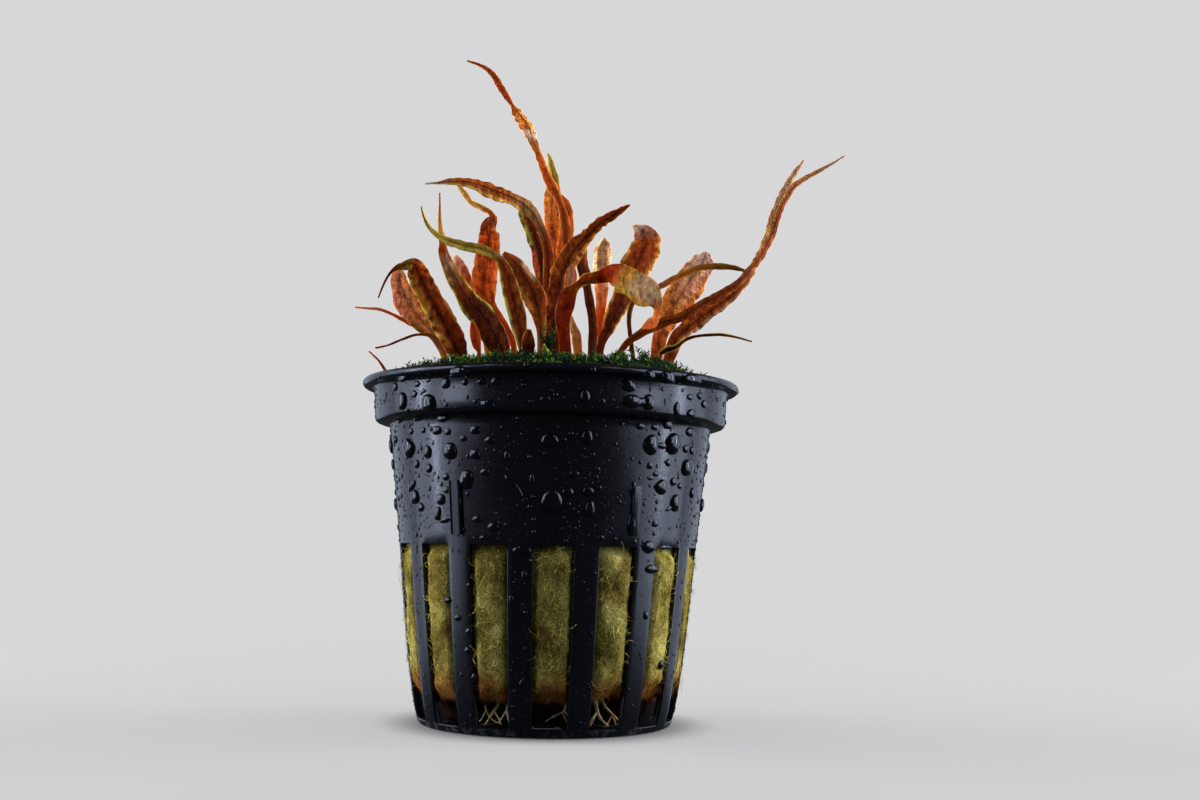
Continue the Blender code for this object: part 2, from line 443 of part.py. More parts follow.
def root(name, route, material):
    curve = bpy.data.curves.new(name, "CURVE")
    curve.dimensions = "3D"
    curve.bevel_depth = ROOT_RADIUS
    curve.bevel_resolution = 0
    curve.use_fill_caps = True
    line = curve.splines.new("POLY")
    steps = ROOT_STEPS_PER_ROW * (len(route) - 1)
    rows = [Vector(row) * MM for row in route]
    line.points.add(steps)
    for number, point in enumerate(line.points):
        point.co = (*smooth_row(rows, number / steps), 1)
    add_object(name, curve, material)


def smooth_row(rows, share):
    """The row of values at a share of the way along a smooth curve through all rows."""
    place = share * (len(rows) - 1)
    first = min(int(place), len(rows) - 2)
    t = place - first
    before = rows[max(first - 1, 0)]
    start = rows[first]
    end = rows[first + 1]
    after = rows[min(first + 2, len(rows) - 1)]
    line = 2 * start + (end - before) * t
    bend = (2 * before - 5 * start + 4 * end - after) * t * t
    twist = (3 * start - before - 3 * end + after) * t * t * t
    return (line + bend + twist) / 2


def key_value(keys, share):
    """The value at a share of the route, on straight lines between rows of (share, value)."""
    for (start, low), (end, high) in zip(keys, keys[1:]):
        if share <= end:
            return low + (high - low) * (share - start) / (end - start)
    return keys[-1][1]


def leaf_rows(depths, turns, route):
    """The route as rows of x, y, z, width in metres and turn in radians, with its foot on the moss."""
    rows = []
    for number, (x, z, seen_width) in enumerate(route):
        share = number / (len(route) - 1)
        seen = Vector((x * MM, 0, z * MM))
        away = 1 + key_value(depths, share) * MM / -EYE.y
        turn = math.radians(key_value(turns, share))
        place = EYE + (seen - EYE) * away
        width = seen_width * MM * away / max(math.cos(turn), LEAST_TURN_COSINE)
        rows.append(Vector((*place, width, turn)))
    rows[0][2] = moss_height(rows[0][0], rows[0][1]) + GAP + LEAF_THICKNESS / 2
    return rows


def leaf(name, rows, material):
    length = sum((end.xyz - start.xyz).length for start, end in zip(rows, rows[1:]))
    stations = max(LEAST_STATIONS, round(length / STATION_SPACING))
    bm = bmesh.new()
    bmesh.ops.create_grid(bm, x_segments=stations, y_segments=2, size=1)
    for point in bm.verts:
        share = (point.co.x + 1) / 2
        across = point.co.y
        row = smooth_row(rows, share)
        after = smooth_row(rows, min(share + LOOK_AHEAD, 1))
        before = smooth_row(rows, max(share - LOOK_AHEAD, 0))
        ahead = after.xyz - before.xyz
        side = ahead.cross(row.xyz - EYE).normalized()
        side.rotate(Quaternion(ahead.normalized(), row[4]))
        face = side.cross(ahead).normalized()
        half_width = row[3] / 2
        point.co = row.xyz + half_width * (side * across + face * LEAF_FOLD * abs(across))
    thing = add_object(name, finished_mesh(name, bm), material)
    solidify = thing.modifiers.new("thickness", "SOLIDIFY")
    solidify.thickness = LEAF_THICKNESS
    solidify.offset = 0


def main():
    clear_scene()
    net_pot()
    rock_wool()
    moss_mat()
    moss_tuft()
    tan = surface("root", ROOT_COLOUR, ROOT_ROUGHNESS)
    for name, route in ROOTS.items():
        root(name, route, tan)
    colours = {}
    for name, (colour, depths, turns, route) in LEAVES.items():
        if colour not in colours:
            colours[colour] = surface(f"leaf_colour_{len(colours) + 1}", colour, LEAF_ROUGHNESS)
        leaf(name, leaf_rows(depths, turns, route), colours[colour])


main()
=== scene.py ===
import itertools
import math
import random

import bmesh
import bpy
from mathutils import Matrix, Quaternion, Vector, noise


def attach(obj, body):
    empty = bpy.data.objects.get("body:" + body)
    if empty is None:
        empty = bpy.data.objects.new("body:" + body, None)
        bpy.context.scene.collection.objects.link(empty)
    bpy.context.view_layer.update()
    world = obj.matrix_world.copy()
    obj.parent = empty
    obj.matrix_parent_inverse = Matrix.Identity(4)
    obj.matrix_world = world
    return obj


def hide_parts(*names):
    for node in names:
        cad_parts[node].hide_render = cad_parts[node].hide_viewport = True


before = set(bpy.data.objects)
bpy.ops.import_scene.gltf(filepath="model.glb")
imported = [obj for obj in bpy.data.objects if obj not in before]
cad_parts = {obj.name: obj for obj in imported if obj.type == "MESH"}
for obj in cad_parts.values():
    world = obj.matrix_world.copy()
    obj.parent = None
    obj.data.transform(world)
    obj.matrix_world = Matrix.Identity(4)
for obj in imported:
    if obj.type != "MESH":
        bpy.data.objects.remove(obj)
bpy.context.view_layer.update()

MM = 0.001

# All lengths are in metres where nothing else is said, and angles in radians.

# The camera, in front at half the pot's height, from where it looks a little up and to the right
EYE = Vector((0.0, -0.211, 0.0254))
CAMERA_YAW = math.radians(1.952)
CAMERA_PITCH = math.radians(5.837)
CAMERA_ROLL = math.radians(1.0)
LENS = 43.08
SENSOR_WIDTH = 36.0

# Pot
POT_HEIGHT = 0.049
FOOT_RADIUS = 0.0179
SLOT_TOP_RADIUS = 0.0215
NECK_RADIUS = 0.0234
COLLAR_RADIUS = 0.0256
RIM_RADIUS = 0.0275
WALL = 0.0009
FLOOR_TOP = 0.0009
NECK_HEIGHT = 0.0425
COLLAR_HEIGHT = 0.0433
RIM_UNDERSIDE = 0.0478
LIP_ROUND = 0.0006
SLOTS = 15
SLOT_BOTTOM = 0.0011
SLOT_TOP = 0.0254
SLOT_HALF_ANGLE = math.radians(7.3)
FIRST_SLOT_ANGLE = math.radians(-88)
SLOT_ROWS = 24
SLOT_STEPS = 6
RIB_STEPS = 5
SLOT_EDGE = 0.00013
DRAINS = 8
DRAIN_RADII = (0.0065, 0.0145)
DRAIN_HEIGHTS = (-0.001, 0.002)
DRAIN_HALF_ANGLE = math.radians(9)
BAR_ANGLES = (math.radians(-124), math.radians(-58.5))
BAR_HALF_ANGLE = math.radians(1.7)
BAR_HEIGHTS = (0.0269, 0.0337)
BAR_PROUD = 0.0004
BAR_EDGE = 0.00022
SHARP_ANGLE = math.radians(48)

# Rock wool, roots and moss
GAP = 0.0003
WOOL_BOTTOM = 0.0046
WOOL_TOP = 0.0428
WOOL_RADIUS = 0.0160
WOOL_STEPS = 14
WOOL_ROWS = 44
WOOL_BULGE = 0.0011
WOOL_FOOT_RADIUS = 0.0122
WOOL_FOOT_WIDENING = 0.0045
WOOL_FOOT_BOTTOM = 0.0014
WOOL_FOOT_FLARE = 0.0008
FIBRE_KINDS = 8
FIBRES_PER_SLOT = 420
FRINGE_FIBRES = 50
FIBRE_RADIUS = 0.000045
FIBRE_TIP_RADIUS = 0.000020
ROOT_START = 0.0010
ROOT_FLOOR = 0.00125
ROOT_FORKS = 2
MOSS_BOTTOM = 0.0438
MOSS_RADIUS = 0.0243
MOSS_EDGE = 0.0490
MOSS_RISE = 0.0028
MOSS_MOUNDS = (
    (0.0125, -0.0125, 0.0060, 0.0016),
    (-0.0030, -0.0140, 0.0070, 0.0004),
    (-0.0110, 0.0060, 0.0070, 0.0008),
    (0.0070, 0.0110, 0.0080, 0.0007),
)
MOSS_DEPTH = 0.0014
MOSS_PATCHES = 4
MOSS_KINDS = 12
MOSS_SPRIGS = 900
MOSS_RINGS = 26
BARE_SHARE = 0.8
SPRIG_DEPTH = 0.00175
STEM_RADIUS = 0.000055
STEM_TIP_RADIUS = 0.00002
LEAFLET_RADIUS = 0.00015
TUFT_PLACE = (-0.0007, -0.0150)
TUFT_HEIGHT = 0.0038
TUFT_RADIUS = 0.0008
TUFT_SINK = 0.0006
TUFT_SPRIGS = 16

# Beads of water. A try that falls on a slot, a steep step or another bead is left out.
BACK_BEAD_TRIES = 110
BACK_BEAD_HEIGHTS = (0.027, 0.0472)
BACK_BEAD_ANGLES = (math.radians(-10), math.radians(190))
SMALL_BEAD_TRIES = 9000
SMALL_BEAD_SIZES = (0.14, 0.16, 0.18, 0.2, 0.24, 0.3, 0.4, 0.6)
SMALL_BEAD_CELL = 0.002
STEEPEST = 1.5

# Leaves. The solid's thickness sets where a leaf's foot is, and the sheet's is what is seen.
LEAF_THICKNESS = 0.0004
LEAF_FOLD = 0.22
SHEET_THICKNESS = 0.00012
SHEET_SPACING = 0.00032
SHEET_STRIPS = 14
FOOT_DEPTH = 0.0018
FOOT_NARROWING = 0.8
BROAD_HALF_WIDTH = 0.0013
CELL_LENGTH = 0.00135
SCALLOP_LENGTH = 0.00027
RUFFLE_LENGTH = 0.00034
CELL_LIFT = 0.00010
RUFFLE_LIFT = 0.00034
RIB_LIFT = 0.00010

# Floor and lights. The floor's profile is (radius, height). The lights beside the pot are at one distance.
FLOOR_PROFILE = ((0, 0), (0.5, 0), (1.0, 0), (1.5, 0.03), (1.8, 0.12), (2.0, 0.32), (2.1, 0.7), (2.1, 2.0))
FLOOR_DROP = 0.00002
LIGHT_DISTANCE = 0.52
HIGH_LIGHT = 0.25
POT_MIDDLE = 0.045
COOL = (0.69, 0.78, 1.0)
WARM = (1.0, 0.95, 0.86)

# Leaf colours, as shares of red, green and blue
UMBER = (0.075, 0.018, 0.003)
MAHOGANY = (0.190, 0.046, 0.006)
MAUVE = (0.200, 0.110, 0.070)
RUST = (0.250, 0.072, 0.010)
FIRE = (0.300, 0.080, 0.009)
AMBER = (0.310, 0.160, 0.028)
GOLD = (0.380, 0.300, 0.070)
APRICOT = (0.360, 0.280, 0.170)
BLUSH = (0.380, 0.340, 0.290)
CREAM = (0.500, 0.530, 0.400)
CELERY = (0.190, 0.235, 0.140)
TAN = (0.290, 0.190, 0.075)
OLIVE = (0.140, 0.110, 0.012)
MOSSY = (0.200, 0.220, 0.028)
LIME = (0.300, 0.360, 0.060)
LEAF_GREEN = (0.100, 0.260, 0.030)

# Colours of the rock wool from its dark gaps to its bright fibres, each with its place on the ramp
WOOL_SHADES = (
    (0.40, (0.016, 0.009, 0.001)), (0.46, (0.130, 0.092, 0.010)),
    (0.52, (0.350, 0.280, 0.040)), (0.58, (0.700, 0.620, 0.180)),
)

# The kinds of leaf, each of which has its own material
BROWN = "leaf_brown"
DARK = "leaf_dark"
ORANGE = "leaf_orange"
PINK = "leaf_pink"
OLIVE_KIND = "leaf_olive"

# The turns of a blade that doesn't turn
STRAIGHT = [(0, 0), (1, 0)]

# A leaf's kind, its depths, its turns and its route from foot to tip. The route's rows of x, z and width are
# in millimetres as the eye in front sees them on the pot's middle plane. Depth, in millimetres, moves a
# point along its line of sight, away from the eye, and turn is the angle in degrees by which the blade
# turns away from the eye. Depths and turns are (share of the length, value), with straight lines between.
LEAVES = {
    "leaf_01": (BROWN, [(0, -8), (1, -14)], [(0, -15), (0.6, 0), (0.75, 30), (1, 20)], [(-13.5, 52.9, 2.3),
        (-14.4, 54.7, 3.6), (-15.3, 56.2, 3.9), (-16.3, 58.1, 3.6), (-17.2, 59.9, 3.4), (-18.3, 61.8, 3.5),
        (-19.4, 63.7, 3.5), (-20.2, 65.5, 2.9), (-20.9, 66.7, 1.9), (-22.3, 66.5, 1.2), (-23.9, 65.7, 0.5),
        (-25, 64, 0.3), (-25.9, 61.5, 0.2)]),
    "leaf_02": (ORANGE, [(0, -3), (1, -4)], [(0, 10), (1, 20)], [(-15.5, 53.6, 0.9), (-17.2, 55.7, 1.5),
        (-19.1, 57.9, 2.9), (-20.9, 59.9, 3.8), (-22.1, 62, 3.6), (-22.8, 63.9, 2.6), (-23, 65.4, 1.8),
        (-23, 66.5, 0.6)]),
    "leaf_03": (PINK, [(0, 1), (1, 7)], [(0, 40), (0.5, 50), (1, 30)], [(-15.7, 54.5, 0.7),
        (-17.5, 56.3, 0.9), (-19.6, 57.3, 0.9), (-21.9, 58.3, 0.6), (-23.7, 59.1, 0.4), (-25.6, 59.8, 0.4),
        (-27.4, 59.9, 0.3), (-29.3, 60, 0.2)]),
    "leaf_04": (DARK, [(0, -12), (1, -17)], [(0, 30), (0.5, 60), (1, 50)], [(-15.7, 53.3, 0.6),
        (-16.5, 54.5, 0.7), (-17.4, 55.7, 0.7), (-18.6, 56.2, 0.4), (-20.3, 56.1, 0.3), (-22.2, 55.4, 0.3),
        (-24.2, 54.5, 0.2), (-26.1, 54, 0.2)]),
    "leaf_05": (BROWN, [(0, 5), (1, 5)], STRAIGHT, [(-23.5, 49.3, 0.4), (-24.6, 50.8, 0.4),
        (-25.6, 52.2, 0.3), (-27, 53.5, 0.2)]),
    "leaf_06": (OLIVE_KIND, [(0, -10), (1, -16)], [(0, 10), (0.5, 0), (0.7, 30), (1, 10)], [(-7.4, 53.8, 2.9),
        (-8.2, 55.6, 3.5), (-9.5, 57.7, 3.8), (-10.8, 59.6, 3.6), (-12.4, 61.2, 3.1), (-13.7, 63, 2.6),
        (-14.8, 64.9, 2.3), (-15.8, 66.7, 1.9), (-16.4, 68.5, 1.5), (-16.6, 70.1, 1), (-17, 72.2, 0.7),
        (-17.2, 74.7, 0.4), (-17.3, 77.6, 0.2)]),
    "leaf_07": (PINK, [(0, 3), (1, 8)], [(0, 0), (1, -20)], [(-9.3, 56.3, 0.9), (-10.5, 59.3, 1.5),
        (-11.8, 61.8, 1.8), (-12.9, 64, 1.9), (-14, 66.3, 1.9), (-14.9, 68.1, 0.7)]),
    "leaf_08": (ORANGE, [(0, -2), (0.6, -3), (0.7, -1), (1, 3)], [(0, 0), (0.6, 0), (0.72, 50), (0.85, 30),
        (1, 0)], [(-5.4, 53.9, 0.7), (-6, 55.6, 1), (-7.1, 57.6, 1.3), (-8.3, 59.3, 1.5), (-9.4, 60.7, 2),
        (-10.2, 62.3, 3.5), (-10.4, 64.5, 3.8), (-10.1, 66.8, 3.5), (-9.9, 69.1, 3.4), (-9.8, 71.1, 3.2),
        (-9.7, 72.6, 2.5), (-9.1, 73.8, 1.2), (-9.7, 74.8, 0.7), (-11.1, 75.6, 0.9), (-12.6, 76.3, 0.7),
        (-13.5, 77.5, 0.9), (-14.6, 78.8, 0.4)]),
    "leaf_09": (DARK, [(0, -2.5), (0.5, -1.5), (1, -7)], [(0, 0), (0.35, 0), (0.6, 45), (0.85, 40), (1, 20)],
        [(-0.5, 54, 1.3), (-0.6, 58.8, 1.5), (-0.8, 63.3, 1.6), (-0.9, 67.5, 1.6), (-1.3, 70.4, 1.3),
        (-2.1, 72.6, 1.3), (-3.2, 74.6, 1.6), (-4.7, 76.1, 1.9), (-6.7, 77.2, 1.9), (-8.8, 78, 1.9),
        (-11, 78.8, 1.8), (-13.1, 79.3, 1.3), (-15.5, 79.4, 0.9), (-17.6, 79.1, 0.4), (-19.5, 78.9, 0.2)]),
    "leaf_10": (OLIVE_KIND, [(0, -11), (0.4, -13), (1, -19)], [(0, -10), (0.35, 0), (0.5, 40), (0.8, 40),
        (1, 0)], [(-4.2, 53.9, 1.5), (-4.7, 56.4, 2), (-5.3, 58.9, 2.5), (-6, 61.6, 2.8), (-6.6, 64, 2.6),
        (-7.3, 66.1, 2), (-8.1, 67.6, 1.3), (-9.3, 68.6, 1.2), (-11.1, 69.3, 1.3), (-12.9, 69.6, 1.3),
        (-14.5, 70, 1.2), (-16, 70.4, 1), (-17.4, 71.2, 0.8), (-18.6, 72.2, 0.6), (-19.5, 73.7, 0.4),
        (-20, 75.5, 0.2)]),
    "leaf_11": (DARK, [(0, -6), (1, -8.5)], [(0, 0), (0.6, 0), (1, 30)], [(-1.7, 53.9, 1), (-1.7, 56.5, 1.2),
        (-1.9, 58.4, 1.8), (-2.3, 60.5, 2.9), (-3, 62.6, 3.2), (-4, 64.5, 2.9), (-5.1, 66.2, 2.5),
        (-6.3, 67.7, 1.8), (-7.6, 68.7, 0.6)]),
    "leaf_12": (BROWN, [(0, -14.5), (1, -15.5)], STRAIGHT, [(-3.6, 53.7, 1.8), (-3.6, 54.9, 1.9),
        (-3.6, 56.1, 1.6), (-3.5, 57.3, 0.6)]),
    "leaf_13": (ORANGE, [(0, 2), (0.4, 4), (1, 8)], [(0, 0), (0.3, 10), (0.45, 40), (0.55, 20), (0.65, 65),
        (0.72, 30), (1, 10)], [(1.1, 54.3, 1.2), (1.3, 58.8, 1.5), (1.7, 63.3, 1.6), (1.8, 67.9, 1.5),
        (1.7, 72.4, 1.3), (1.2, 75.1, 1.2), (0.5, 77, 1.2), (-0.4, 78.8, 1.5), (-1.3, 80.7, 1.3),
        (-2.1, 82.5, 1), (-2.9, 84.5, 1), (-3.7, 86.3, 1.6), (-4.4, 88.2, 2), (-5.5, 89.8, 1.3),
        (-6.7, 91.2, 0.6), (-7.6, 92.6, 0.9), (-8.6, 94.1, 1), (-9.5, 95.6, 0.9), (-10.7, 96.8, 0.7),
        (-12.1, 97.5, 0.4), (-13.8, 98, 0.2)]),
    "leaf_14": (ORANGE, [(0, 7.5), (1, 9)], [(0, 0), (1, 10)], [(0.7, 54.6, 0.9), (0.6, 59.5, 1.3),
        (0.7, 63.3, 1.5), (0.9, 66.3, 1.8), (1.3, 68.9, 2), (1.7, 71.2, 2.2), (1.8, 73.3, 2.2),
        (1.7, 75.2, 2), (1.3, 76.5, 1.6), (0.7, 77.7, 0.6)]),
    "leaf_15": (ORANGE, [(0, 11), (1, 14.5)], [(0, 0), (0.6, -10), (1, 0)], [(0.2, 54.3, 0.9),
        (0.2, 58.8, 1.2), (0.2, 63.3, 1.6), (0.2, 67.1, 1.8), (0.1, 69.8, 1.9), (-0.3, 72.4, 2.2),
        (-0.5, 75.1, 2.5), (-0.5, 77.5, 2.5), (-0.4, 79.4, 1.9), (-0.5, 81.1, 1.2), (-0.8, 82.6, 0.9),
        (-1.3, 84, 0.3)]),
    "leaf_16": (DARK, [(0, -3), (0.5, -5), (1, -9)], [(0, 0), (0.5, 10), (0.8, 35), (1, 20)], [(0.1, 54.3, 2),
        (0.2, 58, 2.5), (0.4, 61.3, 2.8), (0.8, 64.1, 3.1), (1.5, 66.6, 3.2), (2.6, 68.8, 3.1),
        (3.9, 70.5, 2.6), (5.3, 72, 2), (6.7, 73.5, 1.6), (8.4, 74.6, 1.3), (9.8, 75.6, 1),
        (11.2, 76.5, 0.2)]),
    "leaf_17": (BROWN, [(0, 2), (1, 6)], [(0, 20), (0.5, 0), (1, 40)], [(5.9, 54.1, 1.3), (6, 56.7, 1.2),
        (5.8, 59.2, 1.2), (5.4, 61.6, 1.3), (5, 63.7, 1.2), (4.6, 65.5, 1.6), (4.3, 67, 1.8),
        (4.4, 68.5, 1.3), (4.7, 69.9, 0.4)]),
    "leaf_18": (ORANGE, [(0, -7), (1, -8.5)], STRAIGHT, [(2.3, 54, 0.6), (2.2, 58.1, 0.7), (2.2, 61.4, 0.9),
        (2.3, 63.5, 1.3), (2.5, 65.2, 1.8), (2.6, 66.4, 1.3), (2.7, 67.1, 0.4)]),
    "leaf_19": (PINK, [(0, -12), (0.3, -15), (0.75, -21), (1, -19)], [(0, 0), (0.2, 0), (0.3, 50), (0.4, 40),
        (0.5, 10), (0.8, 0), (0.87, 50), (1, 10)], [(2, 53.9, 1.8), (1.7, 56.6, 1.9), (1.5, 59.1, 2.3),
        (1.9, 61.4, 2.8), (2.6, 63, 2), (3.8, 64.1, 1), (5.2, 64.9, 1.8), (6.7, 65.3, 1.9), (8.1, 65.6, 2.9),
        (9.4, 65.5, 3.9), (10.9, 64.9, 4.1), (12.4, 64, 4.2), (13.8, 63.1, 4.1), (15, 62, 2.9),
        (15.4, 60.8, 1.2), (15.2, 59.6, 1), (14.4, 58.5, 1.6), (13.3, 57.9, 0.4)]),
    "leaf_20": (ORANGE, [(0, 0), (0.8, 3.5), (1, 6)], [(0, 0), (0.8, 0), (1, 45)], [(6.8, 54, 1),
        (7.3, 55.6, 1.3), (8.2, 57.5, 1.9), (8.9, 59.3, 2.5), (9.8, 61.3, 2.9), (10.6, 63.2, 3.6),
        (11.4, 65.2, 4.2), (12.2, 67.2, 4.5), (13, 69, 4.8), (13.6, 70.4, 4.7), (13.7, 71.6, 3.9),
        (12.9, 72.8, 2.2), (11.8, 73.4, 0.6)]),
    "leaf_21": (PINK, [(0, 10), (1, 14)], [(0, 0), (1, -15)], [(6.8, 54.4, 0.6), (6.9, 56.7, 0.9),
        (7, 58.9, 1.2), (7.1, 61.2, 1.6), (7.1, 63.1, 2), (7, 65.3, 2.2), (7.1, 67.7, 2.5), (7.2, 69.5, 2.6),
        (7.4, 70.7, 1.6), (7.4, 71.3, 0.4)]),
    "leaf_22": (PINK, [(0, 11), (1, 12.5)], STRAIGHT, [(4.1, 53.9, 1.2), (3.6, 55.9, 1.5), (3.1, 57.6, 1.3),
        (2.7, 59.4, 0.4)]),
    "leaf_23": (ORANGE, [(0, 5), (1, 12)], [(0, 0), (1, -10)], [(15.2, 54.9, 1.5), (16.1, 56.9, 2.3),
        (17, 59.2, 3.2), (18, 61.4, 3.9), (19.2, 63.4, 4.4), (20.5, 65.4, 4.5), (21.7, 67.3, 4.2),
        (22.4, 68.7, 2.9), (22.7, 69.6, 0.7)]),
    "leaf_24": (OLIVE_KIND, [(0, -3), (0.4, -4), (1, 1.5)], [(0, 0), (0.4, 20), (0.7, 40), (1, 30)],
        [(12.1, 54.2, 0.6), (11.5, 56.8, 0.6), (11.3, 59.3, 0.7), (11.7, 61.4, 0.7), (13, 63, 0.7),
        (14.7, 63.8, 0.7), (16.3, 64.4, 0.9), (17.9, 65.4, 0.9), (19.6, 66.2, 0.9), (21.2, 66.9, 0.9),
        (23, 67.3, 0.9), (24.8, 67.4, 0.9), (26.6, 67.3, 0.7), (28.1, 67, 0.5), (29.2, 66.7, 0.2)]),
    "leaf_25": (DARK, [(0, -8), (0.25, -10), (0.6, -7.5), (1, -3)], [(0, 10), (0.2, 0), (0.4, 20), (0.55, 40),
        (0.7, 20), (0.85, 35), (1, 10)], [(9.7, 54.2, 0.9), (11.2, 55.7, 1), (13, 57, 1.2), (14.7, 58.1, 1.6),
        (16.7, 58.9, 1.5), (18.6, 59.4, 1.3), (20.4, 60.4, 1.3), (22.2, 61.7, 1.3), (24, 62.6, 1.3),
        (25.7, 63.7, 1.2), (27.4, 64.8, 1), (28.7, 66.2, 1), (29.8, 67.6, 1), (30.8, 69, 1.2),
        (31.7, 70.7, 1.3), (32.6, 72.7, 1.3), (33.3, 74.7, 1), (33.9, 76.6, 0.9), (34.8, 78.3, 0.9),
        (35.9, 79.9, 0.9), (37.4, 81.1, 0.7), (39.1, 82.1, 0.6), (41.2, 83.3, 0.4), (43.6, 84.9, 0.2)]),
    "leaf_26": (BROWN, [(0, -4), (0.4, -3.5), (1, 3)], [(0, 0), (0.3, 0), (0.5, 35), (0.8, 10), (1, 20)],
        [(17, 54.5, 1.5), (18.2, 56, 2), (19.5, 57.6, 2.3), (20.9, 58.7, 2.5), (22.3, 59.9, 2.3),
        (24, 61.1, 2), (25.6, 62.3, 1.8), (27.2, 63.6, 1.5), (28.6, 65, 1.2), (29.6, 66.7, 1.2),
        (30.4, 68.4, 1), (31.2, 70.1, 1), (31.9, 72, 1), (32.4, 73.8, 1.2), (33, 75.7, 1.2),
        (33.6, 77.4, 1.2), (34.4, 79.1, 1.2), (35.3, 80.8, 1), (36.3, 82.5, 0.7), (37.4, 84.1, 0.2)]),
    "leaf_27": (OLIVE_KIND, [(0, -12), (1, -16)], [(0, 40), (0.4, 50), (1, 30)], [(16, 54.3, 0.6),
        (17.2, 54.7, 0.9), (18.4, 55.1, 0.7), (19.5, 56, 0.5), (21, 56.7, 0.4), (23.1, 57, 0.4),
        (25.2, 57.1, 0.4), (27.3, 56.8, 0.3), (29.7, 56.2, 0.2)]),
    "leaf_28": (ORANGE, [(0, -15), (1, -16.5)], STRAIGHT, [(-10.8, 52.7, 0.7), (-11.2, 54.8, 1.3),
        (-11.6, 56.7, 1.3), (-12, 58.2, 0.4)]),
    "leaf_29": (OLIVE_KIND, [(0, -17.5), (1, -18.5)], STRAIGHT, [(-0.8, 53.1, 0.6), (-0.9, 54.1, 0.7),
        (-1.3, 55.1, 0.3)]),
    "leaf_30": (DARK, [(0, 2.5), (1, 3.5)], [(0, 0), (0.7, -10), (1, 10)], [(-0.6, 54, 1.5), (-0.9, 58, 2.2),
        (-1.1, 61.8, 2.5), (-1.5, 64.8, 2.5), (-1.8, 67, 2.5), (-2.3, 69.3, 2.5), (-2.9, 71.2, 2.5),
        (-3.6, 73, 2.6), (-4.1, 74.7, 2.9), (-4.1, 75.9, 2), (-4, 76.8, 0.6)]),
}
